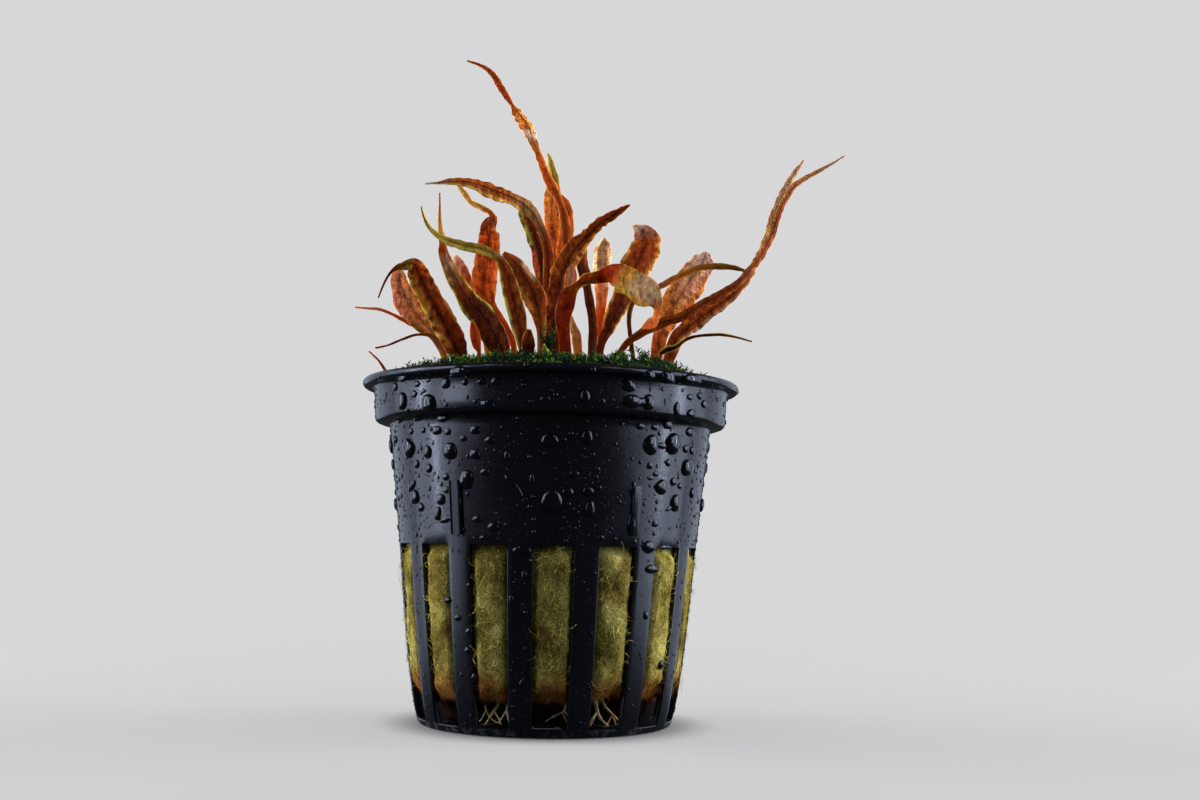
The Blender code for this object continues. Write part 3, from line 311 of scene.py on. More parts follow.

# How each leaf is coloured: a list of (share of the length, colour), and a list of zones. A zone is a side
# (1 is the left going up the leaf, -1 the right, 0 both), the shares of the length where it starts and
# ends, how far from the midrib it starts, as a share of the half width, and its colour.
# The near-black stops at the feet of many leaves are partly their own colour and partly painted shade where
# they crowd together over the moss.
LOOKS = {
    "leaf_01": ([(0, UMBER), (0.18, MAHOGANY), (0.45, RUST), (0.64, RUST), (0.72, OLIVE), (0.82, UMBER)],
        [(1, 0.08, 0.62, 0.30, AMBER), (1, 0.15, 0.64, 0.84, MOSSY), (-1, 0.2, 0.6, 0.85, AMBER)]),
    "leaf_02": ([(0, OLIVE), (0.25, TAN), (0.8, TAN), (1, APRICOT)], [(1, 0.0, 0.35, 0.60, OLIVE),
        (1, 0.4, 1.0, 0.62, APRICOT), (-1, 0.3, 0.8, 0.55, AMBER)]),
    "leaf_03": ([(0, MAHOGANY), (0.5, MAHOGANY), (1, MAUVE)], []),
    "leaf_04": ([(0, MAHOGANY), (0.3, UMBER), (1, UMBER)], []),
    "leaf_05": ([(0, RUST), (1, RUST)], []),
    "leaf_06": ([(0, UMBER), (0.28, UMBER), (0.42, MAHOGANY), (0.52, TAN), (0.60, APRICOT), (0.70, RUST),
        (0.84, GOLD), (1, RUST)], [(0, 0.22, 0.60, 0.82, LIME)]),
    "leaf_07": ([(0, OLIVE), (0.3, OLIVE), (0.6, MAHOGANY), (0.85, MAUVE), (1, BLUSH)],
        [(1, 0.1, 0.7, 0.7, MOSSY)]),
    "leaf_08": ([(0, FIRE), (0.3, FIRE), (0.6, FIRE), (0.67, UMBER), (0.73, RUST), (0.82, GOLD), (1, GOLD)],
        [(0, 0.30, 0.6, 0.78, AMBER)]),
    "leaf_09": ([(0, UMBER), (0.25, MAHOGANY), (0.45, TAN), (0.6, RUST), (0.8, RUST), (0.92, MAUVE),
        (1, BLUSH)], [(1, 0.48, 0.92, 0.66, GOLD), (1, 0.05, 0.4, 0.7, RUST)]),
    "leaf_10": ([(0, UMBER), (0.15, MAHOGANY), (0.35, MAHOGANY), (0.45, OLIVE), (0.7, OLIVE), (0.86, MOSSY),
        (1, LIME)], [(1, 0.02, 0.42, 0.70, LIME), (1, 0.46, 0.85, 0.4, MOSSY), (-1, 0.1, 0.4, 0.8, OLIVE)]),
    # leaf_11's amber zone on its left side is a painted highlight
    "leaf_11": ([(0, TAN), (0.25, RUST), (0.5, MAHOGANY), (1, MAHOGANY)], [(1, 0.35, 0.62, 0.50, AMBER),
        (-1, 0.6, 0.8, 0.55, APRICOT), (-1, 0.3, 0.55, 0.7, RUST)]),
    "leaf_12": ([(0, UMBER), (1, MAHOGANY)], []),
    "leaf_13": ([(0, MAHOGANY), (0.2, RUST), (0.45, FIRE), (0.53, AMBER), (0.565, CREAM), (0.60, AMBER),
        (0.7, RUST), (0.9, RUST), (1, MAHOGANY)], [(0, 0.2, 0.5, 0.75, AMBER)]),
    "leaf_14": ([(0, RUST), (0.3, FIRE), (0.7, RUST), (1, FIRE)], [(0, 0.3, 0.95, 0.74, AMBER)]),
    "leaf_15": ([(0, RUST), (0.3, FIRE), (0.68, AMBER), (0.78, MOSSY), (0.85, LIME), (1, LIME)],
        [(0, 0.25, 0.7, 0.70, AMBER)]),
    "leaf_16": ([(0, UMBER), (0.2, MAHOGANY), (0.45, RUST), (1, FIRE)], [(-1, 0.25, 0.95, 0.60, AMBER),
        (1, 0.3, 0.8, 0.8, FIRE)]),
    "leaf_17": ([(0, UMBER), (0.68, UMBER), (1, MAHOGANY)], []),
    "leaf_18": ([(0, RUST), (0.4, TAN), (0.6, APRICOT), (1, APRICOT)], [(0, 0.5, 1.0, 0.6, AMBER)]),
    "leaf_19": ([(0, UMBER), (0.2, UMBER), (0.3, OLIVE), (0.36, OLIVE), (0.42, UMBER), (0.5, MAHOGANY),
        (0.58, MOSSY), (0.64, CELERY), (0.76, CELERY), (0.86, AMBER), (1, AMBER)],
        [(-1, 0.5, 0.85, 0.6, MOSSY)]),
    "leaf_20": ([(0, UMBER), (0.25, UMBER), (0.6, MAHOGANY), (0.8, RUST), (0.88, MAUVE), (1, BLUSH)],
        [(0, 0.15, 0.82, 0.80, GOLD)]),
    "leaf_21": ([(0, MAHOGANY), (0.25, RUST), (0.45, TAN), (0.6, CELERY), (1, CELERY)],
        [(0, 0.5, 1.0, 0.6, CREAM)]),
    "leaf_22": ([(0, OLIVE), (1, CELERY)], []),
    "leaf_23": ([(0, RUST), (0.3, AMBER), (0.65, APRICOT), (0.85, BLUSH), (1, BLUSH)],
        [(0, 0.15, 0.7, 0.7, AMBER)]),
    "leaf_24": ([(0, UMBER), (0.5, RUST), (1, OLIVE)], [(0, 0.1, 1.0, 0.6, OLIVE)]),
    "leaf_25": ([(0, MAHOGANY), (0.45, MAHOGANY), (0.6, RUST), (0.8, RUST), (0.9, TAN), (1, BLUSH)],
        [(1, 0.5, 0.95, 0.5, AMBER)]),
    "leaf_26": ([(0, MAHOGANY), (0.15, RUST), (0.4, RUST), (0.6, TAN), (0.85, APRICOT), (1, APRICOT)],
        [(-1, 0.05, 0.62, 0.60, APRICOT), (1, 0.1, 0.4, 0.7, FIRE)]),
    "leaf_27": ([(0, UMBER), (0.3, UMBER), (1, OLIVE)], [(0, 0.0, 0.4, 0.6, MOSSY)]),
    "leaf_28": ([(0, FIRE), (1, FIRE)], []),
    "leaf_29": ([(0, LEAF_GREEN), (1, LIME)], []),
    "leaf_30": ([(0, UMBER), (0.5, UMBER), (0.8, MAHOGANY), (1, RUST)], [(1, 0.55, 1.0, 0.50, MOSSY),
        (1, 0.28, 0.5, 0.4, FIRE), (-1, 0.4, 0.9, 0.7, RUST)]),
}

# How crinkled a leaf's margins are, where they aren't nearly smooth
CRINKLES = {
    "leaf_01": 1.0, "leaf_08": 0.6, "leaf_13": 0.6, "leaf_16": 0.9, "leaf_20": 0.7, "leaf_25": 0.7,
    "leaf_26": 1.0, "leaf_23": 0.6, "leaf_30": 0.5,
}

# The radius in millimetres of a thin root, and those of the thicker ones
THIN_ROOT = 0.17
THICK_ROOTS = {"root_01": 0.30, "root_02": 0.24, "root_03": 0.25, "root_04": 0.22}

# A root's route from the wool down to the floor: x, y, z in millimetres
ROOTS = {
    "root_01": [(6.9, -14.6, 4.1), (7.1, -14.5, 3.3), (7.6, -14.3, 2.3), (8.5, -13.8, 1.4)],
    "root_02": [(8.0, -14.0, 4.1), (8.6, -13.6, 3.4), (9.3, -13.2, 2.7), (10.0, -12.7, 2.0)],
    "root_03": [(-6.3, -14.9, 4.1), (-6.8, -14.7, 3.3), (-7.3, -14.5, 2.4), (-7.8, -14.1, 1.5)],
    "root_04": [(-5.1, -15.3, 4.1), (-5.1, -15.4, 3.3), (-4.9, -15.4, 2.5), (-4.6, -15.5, 1.6)],
    "root_05": [(2.7, -15.9, 4.1), (2.4, -16.0, 3.4), (1.2, -16.2, 2.8), (0.1, -16.2, 2.1)],
    "root_06": [(-8.1, -12.6, 4.1), (-7.8, -12.8, 2.9), (-7.0, -13.2, 1.9), (-5.9, -13.8, 1.5)],
}

# Beads of water seen from the front: x, z, width and height in millimetres, and a leaning one's angle in
# degrees
BEADS = [
    (-21.9, 46.2, 1.3, 2.5), (-18.0, 45.9, 1.9, 2.8, 8), (-15.6, 49.0, 1.3, 1.5), (-19.8, 48.8, 0.9, 0.9),
    (-18.2, 49.4, 0.7, 0.6), (-20.2, 47.3, 0.9, 1.0), (-18.8, 47.8, 0.6, 0.6), (-23.0, 48.3, 0.7, 1.2),
    (-12.8, 49.2, 0.9, 0.9), (-10.4, 49.4, 1.2, 1.0), (-8.1, 49.5, 1.6, 1.2), (-15.5, 45.8, 0.6, 0.6),
    (-13.8, 45.1, 0.9, 0.7), (-12.7, 44.8, 0.9, 0.7), (-11.2, 46.4, 0.7, 0.6), (-9.3, 46.0, 2.0, 1.3, -20),
    (-19.7, 43.8, 1.5, 1.0), (-15.9, 43.8, 1.5, 1.2), (-12.6, 44.3, 1.2, 0.9), (-22.6, 43.4, 1.0, 0.9),
    (-20.5, 41.8, 0.7, 1.0), (-18.7, 42.0, 0.7, 0.9), (-16.7, 42.0, 1.3, 1.3), (-15.1, 41.8, 0.9, 1.0),
    (-12.8, 40.9, 1.0, 0.9), (-11.1, 42.2, 1.5, 1.2), (-8.9, 40.7, 1.3, 1.2), (-20.7, 39.3, 1.5, 2.8),
    (-18.0, 38.8, 1.2, 1.8), (-14.7, 39.0, 2.0, 2.3), (-11.0, 38.6, 1.5, 1.5), (-22.8, 40.5, 0.9, 1.2),
    (-19.5, 37.0, 0.7, 1.3), (-17.7, 36.4, 0.9, 1.3), (-13.6, 50.8, 2.6, 1.5), (-21.9, 49.8, 1.3, 1.5),
    (-15.2, 35.2, 1.0, 1.0), (-15.0, 33.3, 0.9, 1.0), (-15.8, 31.9, 1.2, 1.6), (-12.2, 34.9, 1.8, 2.8, -20),
    (-13.3, 31.4, 0.9, 2.8), (-5.2, 34.0, 1.0, 3.8, 38), (-9.5, 36.0, 1.3, 1.0), (-6.3, 38.4, 0.7, 1.5, 10),
    (-2.6, 35.1, 0.6, 1.5), (0.4, 32.0, 2.9, 3.2), (-8.1, 28.0, 1.5, 1.3), (-10.5, 29.1, 1.3, 0.9),
    (-9.5, 26.4, 1.0, 0.7), (-3.8, 24.7, 2.6, 1.3), (2.7, 33.3, 1.5, 1.3), (5.7, 33.5, 1.5, 1.2),
    (6.0, 30.9, 1.2, 2.3), (3.6, 36.0, 1.3, 0.9), (14.8, 40.5, 2.0, 2.8), (18.1, 40.7, 2.2, 2.9),
    (16.5, 40.4, 1.5, 0.9), (14.7, 37.4, 0.9, 1.0), (17.4, 37.9, 0.9, 1.0), (15.6, 36.2, 0.9, 0.7),
    (14.8, 35.6, 1.0, 0.6), (16.4, 34.3, 1.8, 2.0), (18.2, 35.1, 0.9, 1.2), (20.2, 37.2, 1.5, 2.5),
    (19.2, 34.5, 0.7, 0.9), (18.5, 32.0, 1.3, 2.5), (17.6, 31.2, 1.0, 0.6, 30), (15.6, 28.9, 1.0, 0.9),
    (14.7, 25.5, 1.8, 1.8), (17.1, 25.5, 1.8, 0.7), (7.7, 26.7, 0.9, 0.7), (21.0, 33.5, 0.7, 1.5),
    (11.4, 49.3, 2.0, 1.8, -25), (11.9, 46.9, 2.9, 1.8), (14.4, 46.8, 1.6, 2.2), (13.3, 46.8, 1.8, 1.2),
    (14.5, 50.9, 1.5, 1.3), (17.2, 50.6, 1.8, 2.0), (20.9, 50.4, 2.6, 1.3), (18.6, 45.9, 0.9, 1.9),
    (20.7, 45.2, 1.2, 1.3), (20.5, 47.7, 0.9, 0.9), (22.0, 47.9, 0.9, 1.0), (22.6, 46.7, 0.7, 1.2),
    (20.6, 42.5, 1.3, 1.3), (20.0, 40.0, 0.9, 1.2), (20.9, 39.8, 0.7, 1.2), (-0.1, 40.9, 2.3, 2.0),
    (5.4, 41.5, 1.5, 1.9), (3.0, 41.9, 0.7, 0.7), (5.0, 47.5, 1.2, 2.0), (7.5, 46.8, 0.9, 0.9),
    (-0.9, 47.0, 1.3, 0.9), (13.2, 43.2, 1.3, 0.9), (15.4, 43.1, 1.2, 0.9), (17.3, 43.5, 1.3, 1.3),
    (12.2, 28.8, 1.2, 3.2), (12.3, 33.8, 1.0, 2.3), (-18.7, 30.7, 0.9, 1.3), (-20.1, 33.8, 1.3, 1.2, 30),
    (-19.6, 32.2, 1.2, 2.0, 10), (-16.2, 29.8, 0.9, 2.0, -15), (-15.0, 29.0, 2.0, 0.9, 15),
    (-14.7, 50.2, 0.7, 0.7), (15.2, 22.3, 2.0, 1.2), (-14.4, 17.3, 0.9, 1.0), (-12.9, 14.8, 1.0, 0.9),
    (-5.2, 17.5, 0.6, 1.3), (-3.4, 21.1, 0.7, 1.2), (-11.4, 19.5, 0.7, 0.7), (14.4, 15.6, 0.7, 1.2),
    (16.7, 8.5, 0.7, 1.3), (-10.3, 6.2, 0.7, 1.3), (-3.4, 5.6, 0.6, 1.3, -20), (-11.2, 12.8, 0.9, 1.2),
    (-11.3, 10.1, 0.9, 1.0),
]


# ---- shapes shared by the pieces
def polar(radius, angle, height):
    return Vector((radius * math.cos(angle), radius * math.sin(angle), height))


def angle_of(point):
    return math.atan2(point.y, point.x)


def sideways(outward):
    """The level direction at a right angle to one that points away from the pot's axis."""
    return Vector((-outward.y, outward.x, 0))


def between(value, low, high):
    """0 below low, 1 above high, and a soft step from one to the other."""
    share = min(max((value - low) / (high - low), 0.0), 1.0)
    return share * share * (3 - 2 * share)


def wall_radius(height):
    """The outer radius of the pot's tapered wall at a height below the collar."""
    if height < SLOT_TOP:
        return FOOT_RADIUS + (SLOT_TOP_RADIUS - FOOT_RADIUS) * math.pow(max(height, 0) / SLOT_TOP, 0.62)
    share = (height - SLOT_TOP) / (NECK_HEIGHT - SLOT_TOP)
    return SLOT_TOP_RADIUS + (NECK_RADIUS - SLOT_TOP_RADIUS) * share


def outside_radius(height):
    """The outer radius of the pot at any height."""
    if height < NECK_HEIGHT:
        return wall_radius(height)
    if height < COLLAR_HEIGHT:
        share = (height - NECK_HEIGHT) / (COLLAR_HEIGHT - NECK_HEIGHT)
        return NECK_RADIUS + (COLLAR_RADIUS - NECK_RADIUS) * math.sqrt(share)
    if height < RIM_UNDERSIDE:
        return COLLAR_RADIUS + 0.0002 * (height - COLLAR_HEIGHT) / (RIM_UNDERSIDE - COLLAR_HEIGHT)
    return RIM_RADIUS


def moss_height(x, y):
    """The height of the moss's tips over a place in the pot."""
    share = min(math.hypot(x, y) / MOSS_RADIUS, 1)
    height = MOSS_EDGE + MOSS_RISE * (1 - math.pow(share, 6))
    for mound_x, mound_y, radius, rise in MOSS_MOUNDS:
        far = math.hypot(x - mound_x, y - mound_y) / radius
        height += rise * math.exp(-2 * far * far) * (1 - math.pow(share, 6))
    return height


def mesh_of(bm, name):
    """The smooth mesh of a bmesh, which is freed."""
    mesh = bpy.data.meshes.new(name)
    bm.to_mesh(mesh)
    bm.free()
    mesh.shade_smooth()
    return mesh


def placed(name, data):
    """A new object in the scene."""
    thing = bpy.data.objects.new(name, data)
    bpy.context.scene.collection.objects.link(thing)
    return thing


def finished(name, bm, material, slot, *nodes):
    """The piece made of a bmesh, which stands for CAD nodes where any are named."""
    piece = placed(name, mesh_of(bm, name))
    piece.data.materials.append(material)
    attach(piece, "root")
    if nodes:
        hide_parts(*nodes)
    return piece


def template(bm):
    """A small mesh that is copied many times."""
    bmesh.ops.recalc_face_normals(bm, faces=bm.faces)
    return mesh_of(bm, "template")


def turned(profile, steps):
    """A bmesh of a profile of (radius, height) that is turned once round the pot's axis."""
    bm = bmesh.new()
    points = [bm.verts.new((radius, 0, height)) for radius, height in profile]
    edges = [bm.edges.new(pair) for pair in zip(points, points[1:])]
    bmesh.ops.spin(bm, geom=points + edges, cent=(0, 0, 0), axis=(0, 0, 1), angle=math.tau, steps=steps,
                   use_merge=True)
    bmesh.ops.remove_doubles(bm, verts=bm.verts, dist=1e-6)
    return bm


def wedge(bm, angle, half_angle, heights, radii):
    """A block round an angle, between two heights and the two radii that a function gives for each height."""
    corners = bmesh.ops.create_cube(bm, size=2)["verts"]
    for corner in corners:
        outer, side, top = (round(value) for value in corner.co)
        height = heights[top > 0]
        corner.co = polar(radii(height)[outer > 0], angle + side * half_angle, height)
    return corners


def scattered(placements):
    """A bmesh with a copy of a template at each (template, matrix)."""
    bm = bmesh.new()
    for mesh, matrix in placements:
        copy = mesh.copy()
        copy.transform(matrix)
        bm.from_mesh(copy)
        bpy.data.meshes.remove(copy)
    return bm


def set_up(point, axis, spin=0.0, size=1.0):
    """A matrix that stands a shape made along Z at a point, along an axis."""
    turn = axis.normalized().to_track_quat("Z", "Y") @ Quaternion((0, 0, 1), spin)
    return Matrix.LocRotScale(point, turn, Vector((size, size, size)))


def strand(length, radius, tip_radius, parts, bend):
    """A thin tapered strand along Z from the origin, bent by a function of its share of the length."""
    bm = bmesh.new()
    middle = Matrix.Translation((0, 0, length / 2))
    bmesh.ops.create_cone(bm, cap_ends=True, cap_tris=True, segments=3, radius1=radius,
                          radius2=tip_radius, depth=length, matrix=middle)
    long_edges = [edge for edge in bm.edges if abs(edge.verts[0].co.z - edge.verts[1].co.z) > length / 2]
    bmesh.ops.subdivide_edges(bm, edges=long_edges, cuts=parts - 1, use_grid_fill=True)
    for point in bm.verts:
        point.co += bend(point.co.z / length)
    return bm


# ---- materials
class Signal:
    """A socket in a material's nodes. A sum written with it adds the Math nodes that work it out."""

    def __init__(self, finish, socket):
        self.finish = finish
        self.socket = socket

    def math(self, operation, first, second):
        return self.finish.node("ShaderNodeMath", {"operation": operation}, {0: first, 1: second})

    def __add__(self, other):
        return self.math("ADD", self, other)

    def __sub__(self, other):
        return self.math("SUBTRACT", self, other)

    def __rsub__(self, other):
        return self.math("SUBTRACT", other, self)

    def __mul__(self, other):
        return self.math("MULTIPLY", self, other)

    def __pow__(self, other):
        return self.math("POWER", self, other)

    def __abs__(self):
        return self.math("ABSOLUTE", self, 0.0)

    __radd__ = __add__
    __rmul__ = __mul__


class Finish:
    """A material while its nodes are laid out."""

    def __init__(self, name):
        self.material = bpy.data.materials.new(name)
        self.material.use_nodes = True
        self.tree = self.material.node_tree
        self.tree.nodes.clear()
        self.place = self.node("ShaderNodeTexCoord", output="Object")

    def node(self, kind, settings=None, sockets=None, output=0):
        """A new node's output. Its sockets take plain values or the outputs of other nodes."""
        node = self.tree.nodes.new(kind)
        for setting, value in (settings or {}).items():
            if setting == "stops":
                self.set_stops(node.color_ramp.elements, value)
            else:
                setattr(node, setting, value)
        for socket, value in (sockets or {}).items():
            if isinstance(value, Signal):
                self.tree.links.new(value.socket, node.inputs[socket])
            else:
                node.inputs[socket].default_value = value
        return Signal(self, node.outputs[output]) if node.outputs else None

    @staticmethod
    def set_stops(elements, stops):
        while len(elements) < len(stops):
            elements.new(1.0)
        for element, (position, colour) in zip(elements, stops):
            element.position = position
            element.color = (*colour, 1)

    def noise(self, scale, detail=3.0, roughness=0.5, distortion=0.0, place=None):
        sockets = {"Vector": place or self.place, "Scale": scale, "Detail": detail,
                   "Roughness": roughness, "Distortion": distortion}
        return self.node("ShaderNodeTexNoise", None, sockets)

    def stretched(self, scale):
        return self.node("ShaderNodeMapping", None, {"Vector": self.place, "Scale": scale})

    def ramp(self, value, stops):
        return self.node("ShaderNodeValToRGB", {"stops": stops}, {"Fac": value})

    def step(self, value, low, high):
        """0 below low, 1 above high and a soft step between."""
        sockets = {"Value": value, "From Min": low, "From Max": high}
        return self.node("ShaderNodeMapRange", {"interpolation_type": "SMOOTHSTEP"}, sockets)

    def mix(self, share, first, second, blend="MIX"):
        """The first colour where share is 0 and the second where it is 1."""
        first, second = (value if isinstance(value, Signal) else (*value, 1) for value in (first, second))
        settings = {"data_type": "RGBA", "blend_type": blend}
        return self.node("ShaderNodeMix", settings, {0: share, 6: first, 7: second}, output=2)

    def tinted(self, share, colour, tint):
        """A colour that is multiplied by a tint where share is 1."""
        return self.mix(share, colour, self.mix(1.0, colour, tint, "MULTIPLY"))

    def attribute(self, name, output):
        return self.node("ShaderNodeAttribute", {"attribute_name": name}, output=output)

    def parts(self, vector):
        split = self.node("ShaderNodeSeparateXYZ", None, {0: vector})
        return [Signal(self, socket) for socket in split.socket.node.outputs]

    def bump(self, height, distance, strength=1.0):
        sockets = {"Height": height, "Distance": distance, "Strength": strength}
        return self.node("ShaderNodeBump", None, sockets)

    def surface(self, colour, roughness, bump=None, **settings):
        """The material, now that its surface is known. A setting is a socket's name with _ for each space."""
        sockets = {name.replace("_", " "): value for name, value in settings.items()}
        sockets.update({"Base Color": colour, "Roughness": roughness})
        if bump:
            sockets["Normal"] = bump
        shader = self.node("ShaderNodeBsdfPrincipled", None, sockets)
        self.node("ShaderNodeOutputMaterial", None, {"Surface": shader})
        return self.material


def black_plastic():
    """Glossy moulded plastic, a little clouded and with dried lime at the foot."""
    finish = Finish("black_plastic")
    cloud = finish.noise(140, 4)
    grain = finish.noise(2600, 3)
    drag = finish.noise(1.0, 3, place=finish.stretched((500, 500, 60)))
    height = finish.parts(finish.place)[2]
    lime = (1 - finish.step(height, 0.0002, 0.0016)) * finish.step(finish.noise(900, 5), 0.48, 0.62)
    black = finish.mix(cloud, (0.0018, 0.0018, 0.0034), (0.0042, 0.0045, 0.0080))
    colour = finish.mix(lime * 0.5, black, (0.060, 0.062, 0.070))
    roughness = 0.17 + cloud * 0.10 + finish.step(drag, 0.5, 0.75) * 0.05 + lime * 0.3
    bump = finish.bump(grain * 0.6 + cloud * 0.6 + drag * 0.3, 0.00002, 0.5)
    return finish.surface(colour, roughness, bump, IOR=1.48)


def rock_wool_finish(name, brightness):
    """Olive and straw coloured fibre, with dark patches, and a brownish orange towards its lower end. Below
    that, and over the foot, it is painted near-black as the shade in the bottom of the pot.
    """
    finish = Finish(name)
    height = finish.parts(finish.place)[2]
    patch = finish.noise(230, 5, 0.6)
    fibre = finish.noise(3600, 3, 0.6, 3.0)
    hair = finish.noise(1.0, 3, 0.6, 2.5, finish.stretched((4200, 4200, 1500)))
    mixed = patch * 0.35 + fibre * 0.40 + hair * 0.35 - 0.05
    colour = finish.ramp(mixed, [(place, Vector(shade) * brightness) for place, shade in WOOL_SHADES])
    ragged = (finish.noise(420, 3) - 0.5) * 0.006
    low = 1 - finish.step(height + ragged, 0.0052, 0.0098)
    rust = finish.mix(finish.step(fibre, 0.35, 0.65), (0.050, 0.010, 0.002), (0.34, 0.110, 0.012))
    warm = finish.mix(low * 0.9, colour, rust)
    stain = finish.step(finish.noise(330, 4, 0.6), 0.56, 0.70)
    stained = finish.mix(stain * 0.5, warm, (0.120, 0.045, 0.005))
    # Near-black below the lower end and over the foot: painted shade of the pot's dark bottom
    painted_shade_below = 1 - finish.step(height + ragged * 0.25, 0.0039, 0.0056)
    dark = finish.mix(painted_shade_below, stained, (0.006, 0.002, 0.001))
    bump = finish.bump(fibre * 0.6 + hair * 0.5, 0.00022, 0.9)
    return finish.surface(dark, 0.75 + fibre * 0.2, bump, Specular_IOR_Level=0.15)


def moss_finish():
    """Green that brightens from the foot of each sprig to its tips. The near-black at the foot is painted
    shade low in the mat, and the green towards the tips is the moss's own colour.
    """
    finish = Finish("moss_green")
    tip = finish.attribute("tip", "Fac")
    clump = finish.noise(320, 3)
    speck = finish.noise(1700, 2)
    # Near-black at the sprigs' feet: painted shade low in the mat
    shaded_sprig_foot = finish.mix(clump, (0.0004, 0.0014, 0.0005), (0.0006, 0.0030, 0.0015))
    bright = finish.mix(finish.step(clump, 0.44, 0.60), (0.020, 0.240, 0.026), (0.360, 0.800, 0.024))
    lively = finish.step(finish.noise(1100, 2), 0.42, 0.62)
    colour = finish.mix(tip ** 2.8 * (0.10 + lively * 1.5), shaded_sprig_foot, bright)
    straw = finish.mix(finish.step(speck, 0.64, 0.72) * tip * 0.6, colour, (0.36, 0.33, 0.05))
    bump = finish.bump(finish.noise(6000, 2), 0.00003, 0.4)
    return finish.surface(straw, 0.22 + speck * 0.3, bump, Specular_IOR_Level=0.20)


def moss_floor_finish():
    """Nearly black green, as the shade between sprigs is."""
    finish = Finish("moss_floor")
    clump = finish.noise(700, 5)
    colour = finish.ramp(clump, [
        (0.3, (0.001, 0.002, 0.001)), (0.6, (0.003, 0.007, 0.002)), (0.8, (0.010, 0.012, 0.003)),
    ])
    bump = finish.bump(finish.noise(2400, 4), 0.0003, 0.9)
    return finish.surface(colour, 0.75 + clump * 0.2, bump)


def root_finish():
    """Pale tan with browner bands."""
    finish = Finish("root_skin")
    band = finish.noise(900, 4)
    speck = finish.noise(4200, 3)
    colour = finish.ramp(band * 0.7 + speck * 0.3, [
        (0.35, (0.16, 0.085, 0.028)), (0.5, (0.44, 0.30, 0.13)), (0.65, (0.66, 0.52, 0.29)),
    ])
    bump = finish.bump(speck + band * 0.5, 0.00005, 0.6)
    return finish.surface(colour, 0.45 + speck * 0.25, bump)


def water_finish():
    """Clear water in drops so thin that the black plastic behind them gives them their colour."""
    finish = Finish("water")
    ripple = finish.noise(500, 2)
    colour = finish.mix(ripple, (0.0015, 0.0018, 0.0030), (0.0040, 0.0045, 0.0070))
    return finish.surface(colour, 0.03 + ripple * 0.05, IOR=1.46)


def leaf_finish(name, reach, rib_and_shade_depth):
    """Thin wet leaf: raised cells between side veins, a dark midrib with a painted shadow beside it, and
    light that scatters through it. The tint's alpha, which falls where the blade gets narrow, calms all of
    these there."""
    finish = Finish(name)
    tint = finish.attribute("tint", "Color")
    broad = finish.attribute("tint", "Alpha")
    along, across, pick = finish.parts(finish.attribute("blade", "Vector"))
    edge = abs(across)
    wander = finish.noise(700, 3) - 0.5
    phase = along * 4.6 - edge * 2.6 + wander * 2.4 + pick * 6.3
    wave = finish.node("ShaderNodeMath", {"operation": "SINE"}, {0: phase})
    vein = finish.step(abs(wave), 0.34, 0.02) * finish.step(edge, 0.05, 0.16) * broad
    rib = (1 - finish.step(edge, 0.03, 0.10)) * broad
    # Painted shadow in the fold beside the midrib
    shadow = (1 - finish.step(edge + wander * 0.5, 0.06, 0.40)) * (0.75 * rib_and_shade_depth)
    mottle = finish.noise(850, 4, 0.65)
    blister = finish.node("ShaderNodeTexVoronoi", None, {"Vector": finish.place, "Scale": 1900.0})
    raised = (1 - finish.step(blister, 0.20, 0.62)) * broad
    fleck = finish.step(finish.noise(2300, 3, 0.6), 0.56, 0.70)
    streak = finish.noise(1.0, 3, 0.6, 0.6, finish.stretched((1900, 1900, 330)))
    patches = (finish.step(mottle * 0.5 + streak * 0.5, 0.38, 0.60) - 0.5) * broad + 0.5
    shade = finish.mix(patches, (0.72, 0.50, 0.40), (2.15, 2.05, 1.9))
    colour = finish.mix(1.0, tint, shade, "MULTIPLY")
    for share, darker in (
        (1 - raised, (0.86, 0.78, 0.70)),
        (vein * 0.5, (0.50, 0.32, 0.25)),
        (fleck * broad * 0.22, (0.45, 0.25, 0.20)),
        (shadow, (0.35, 0.18, 0.14)),
        (rib * (0.8 * rib_and_shade_depth), (0.30, 0.20, 0.20)),
    ):
        colour = finish.tinted(share, colour, darker)
    # A pale line along the margins: a painted highlight where light catches the leaf's edge
    painted_edge_highlight = finish.step(edge, 0.90, 0.99) * finish.step(finish.noise(420, 2), 0.40, 0.62)
    edge_highlighted = finish.mix(painted_edge_highlight * 0.5, colour, finish.mix(0.5, colour, (0.42, 0.32, 0.07)))
    relief = ((1 - vein) * 0.6 + mottle * 0.4 + raised * 0.6 - rib * 0.6) * broad
    return finish.surface(
        edge_highlighted, 0.30 + mottle * 0.22 + vein * 0.08, finish.bump(relief, 0.00010, 0.85), IOR=1.42,
        Specular_IOR_Level=0.09, Subsurface_Weight=1.0, Subsurface_Radius=(1.0, 0.50, 0.20),
        Subsurface_Scale=reach,
    )


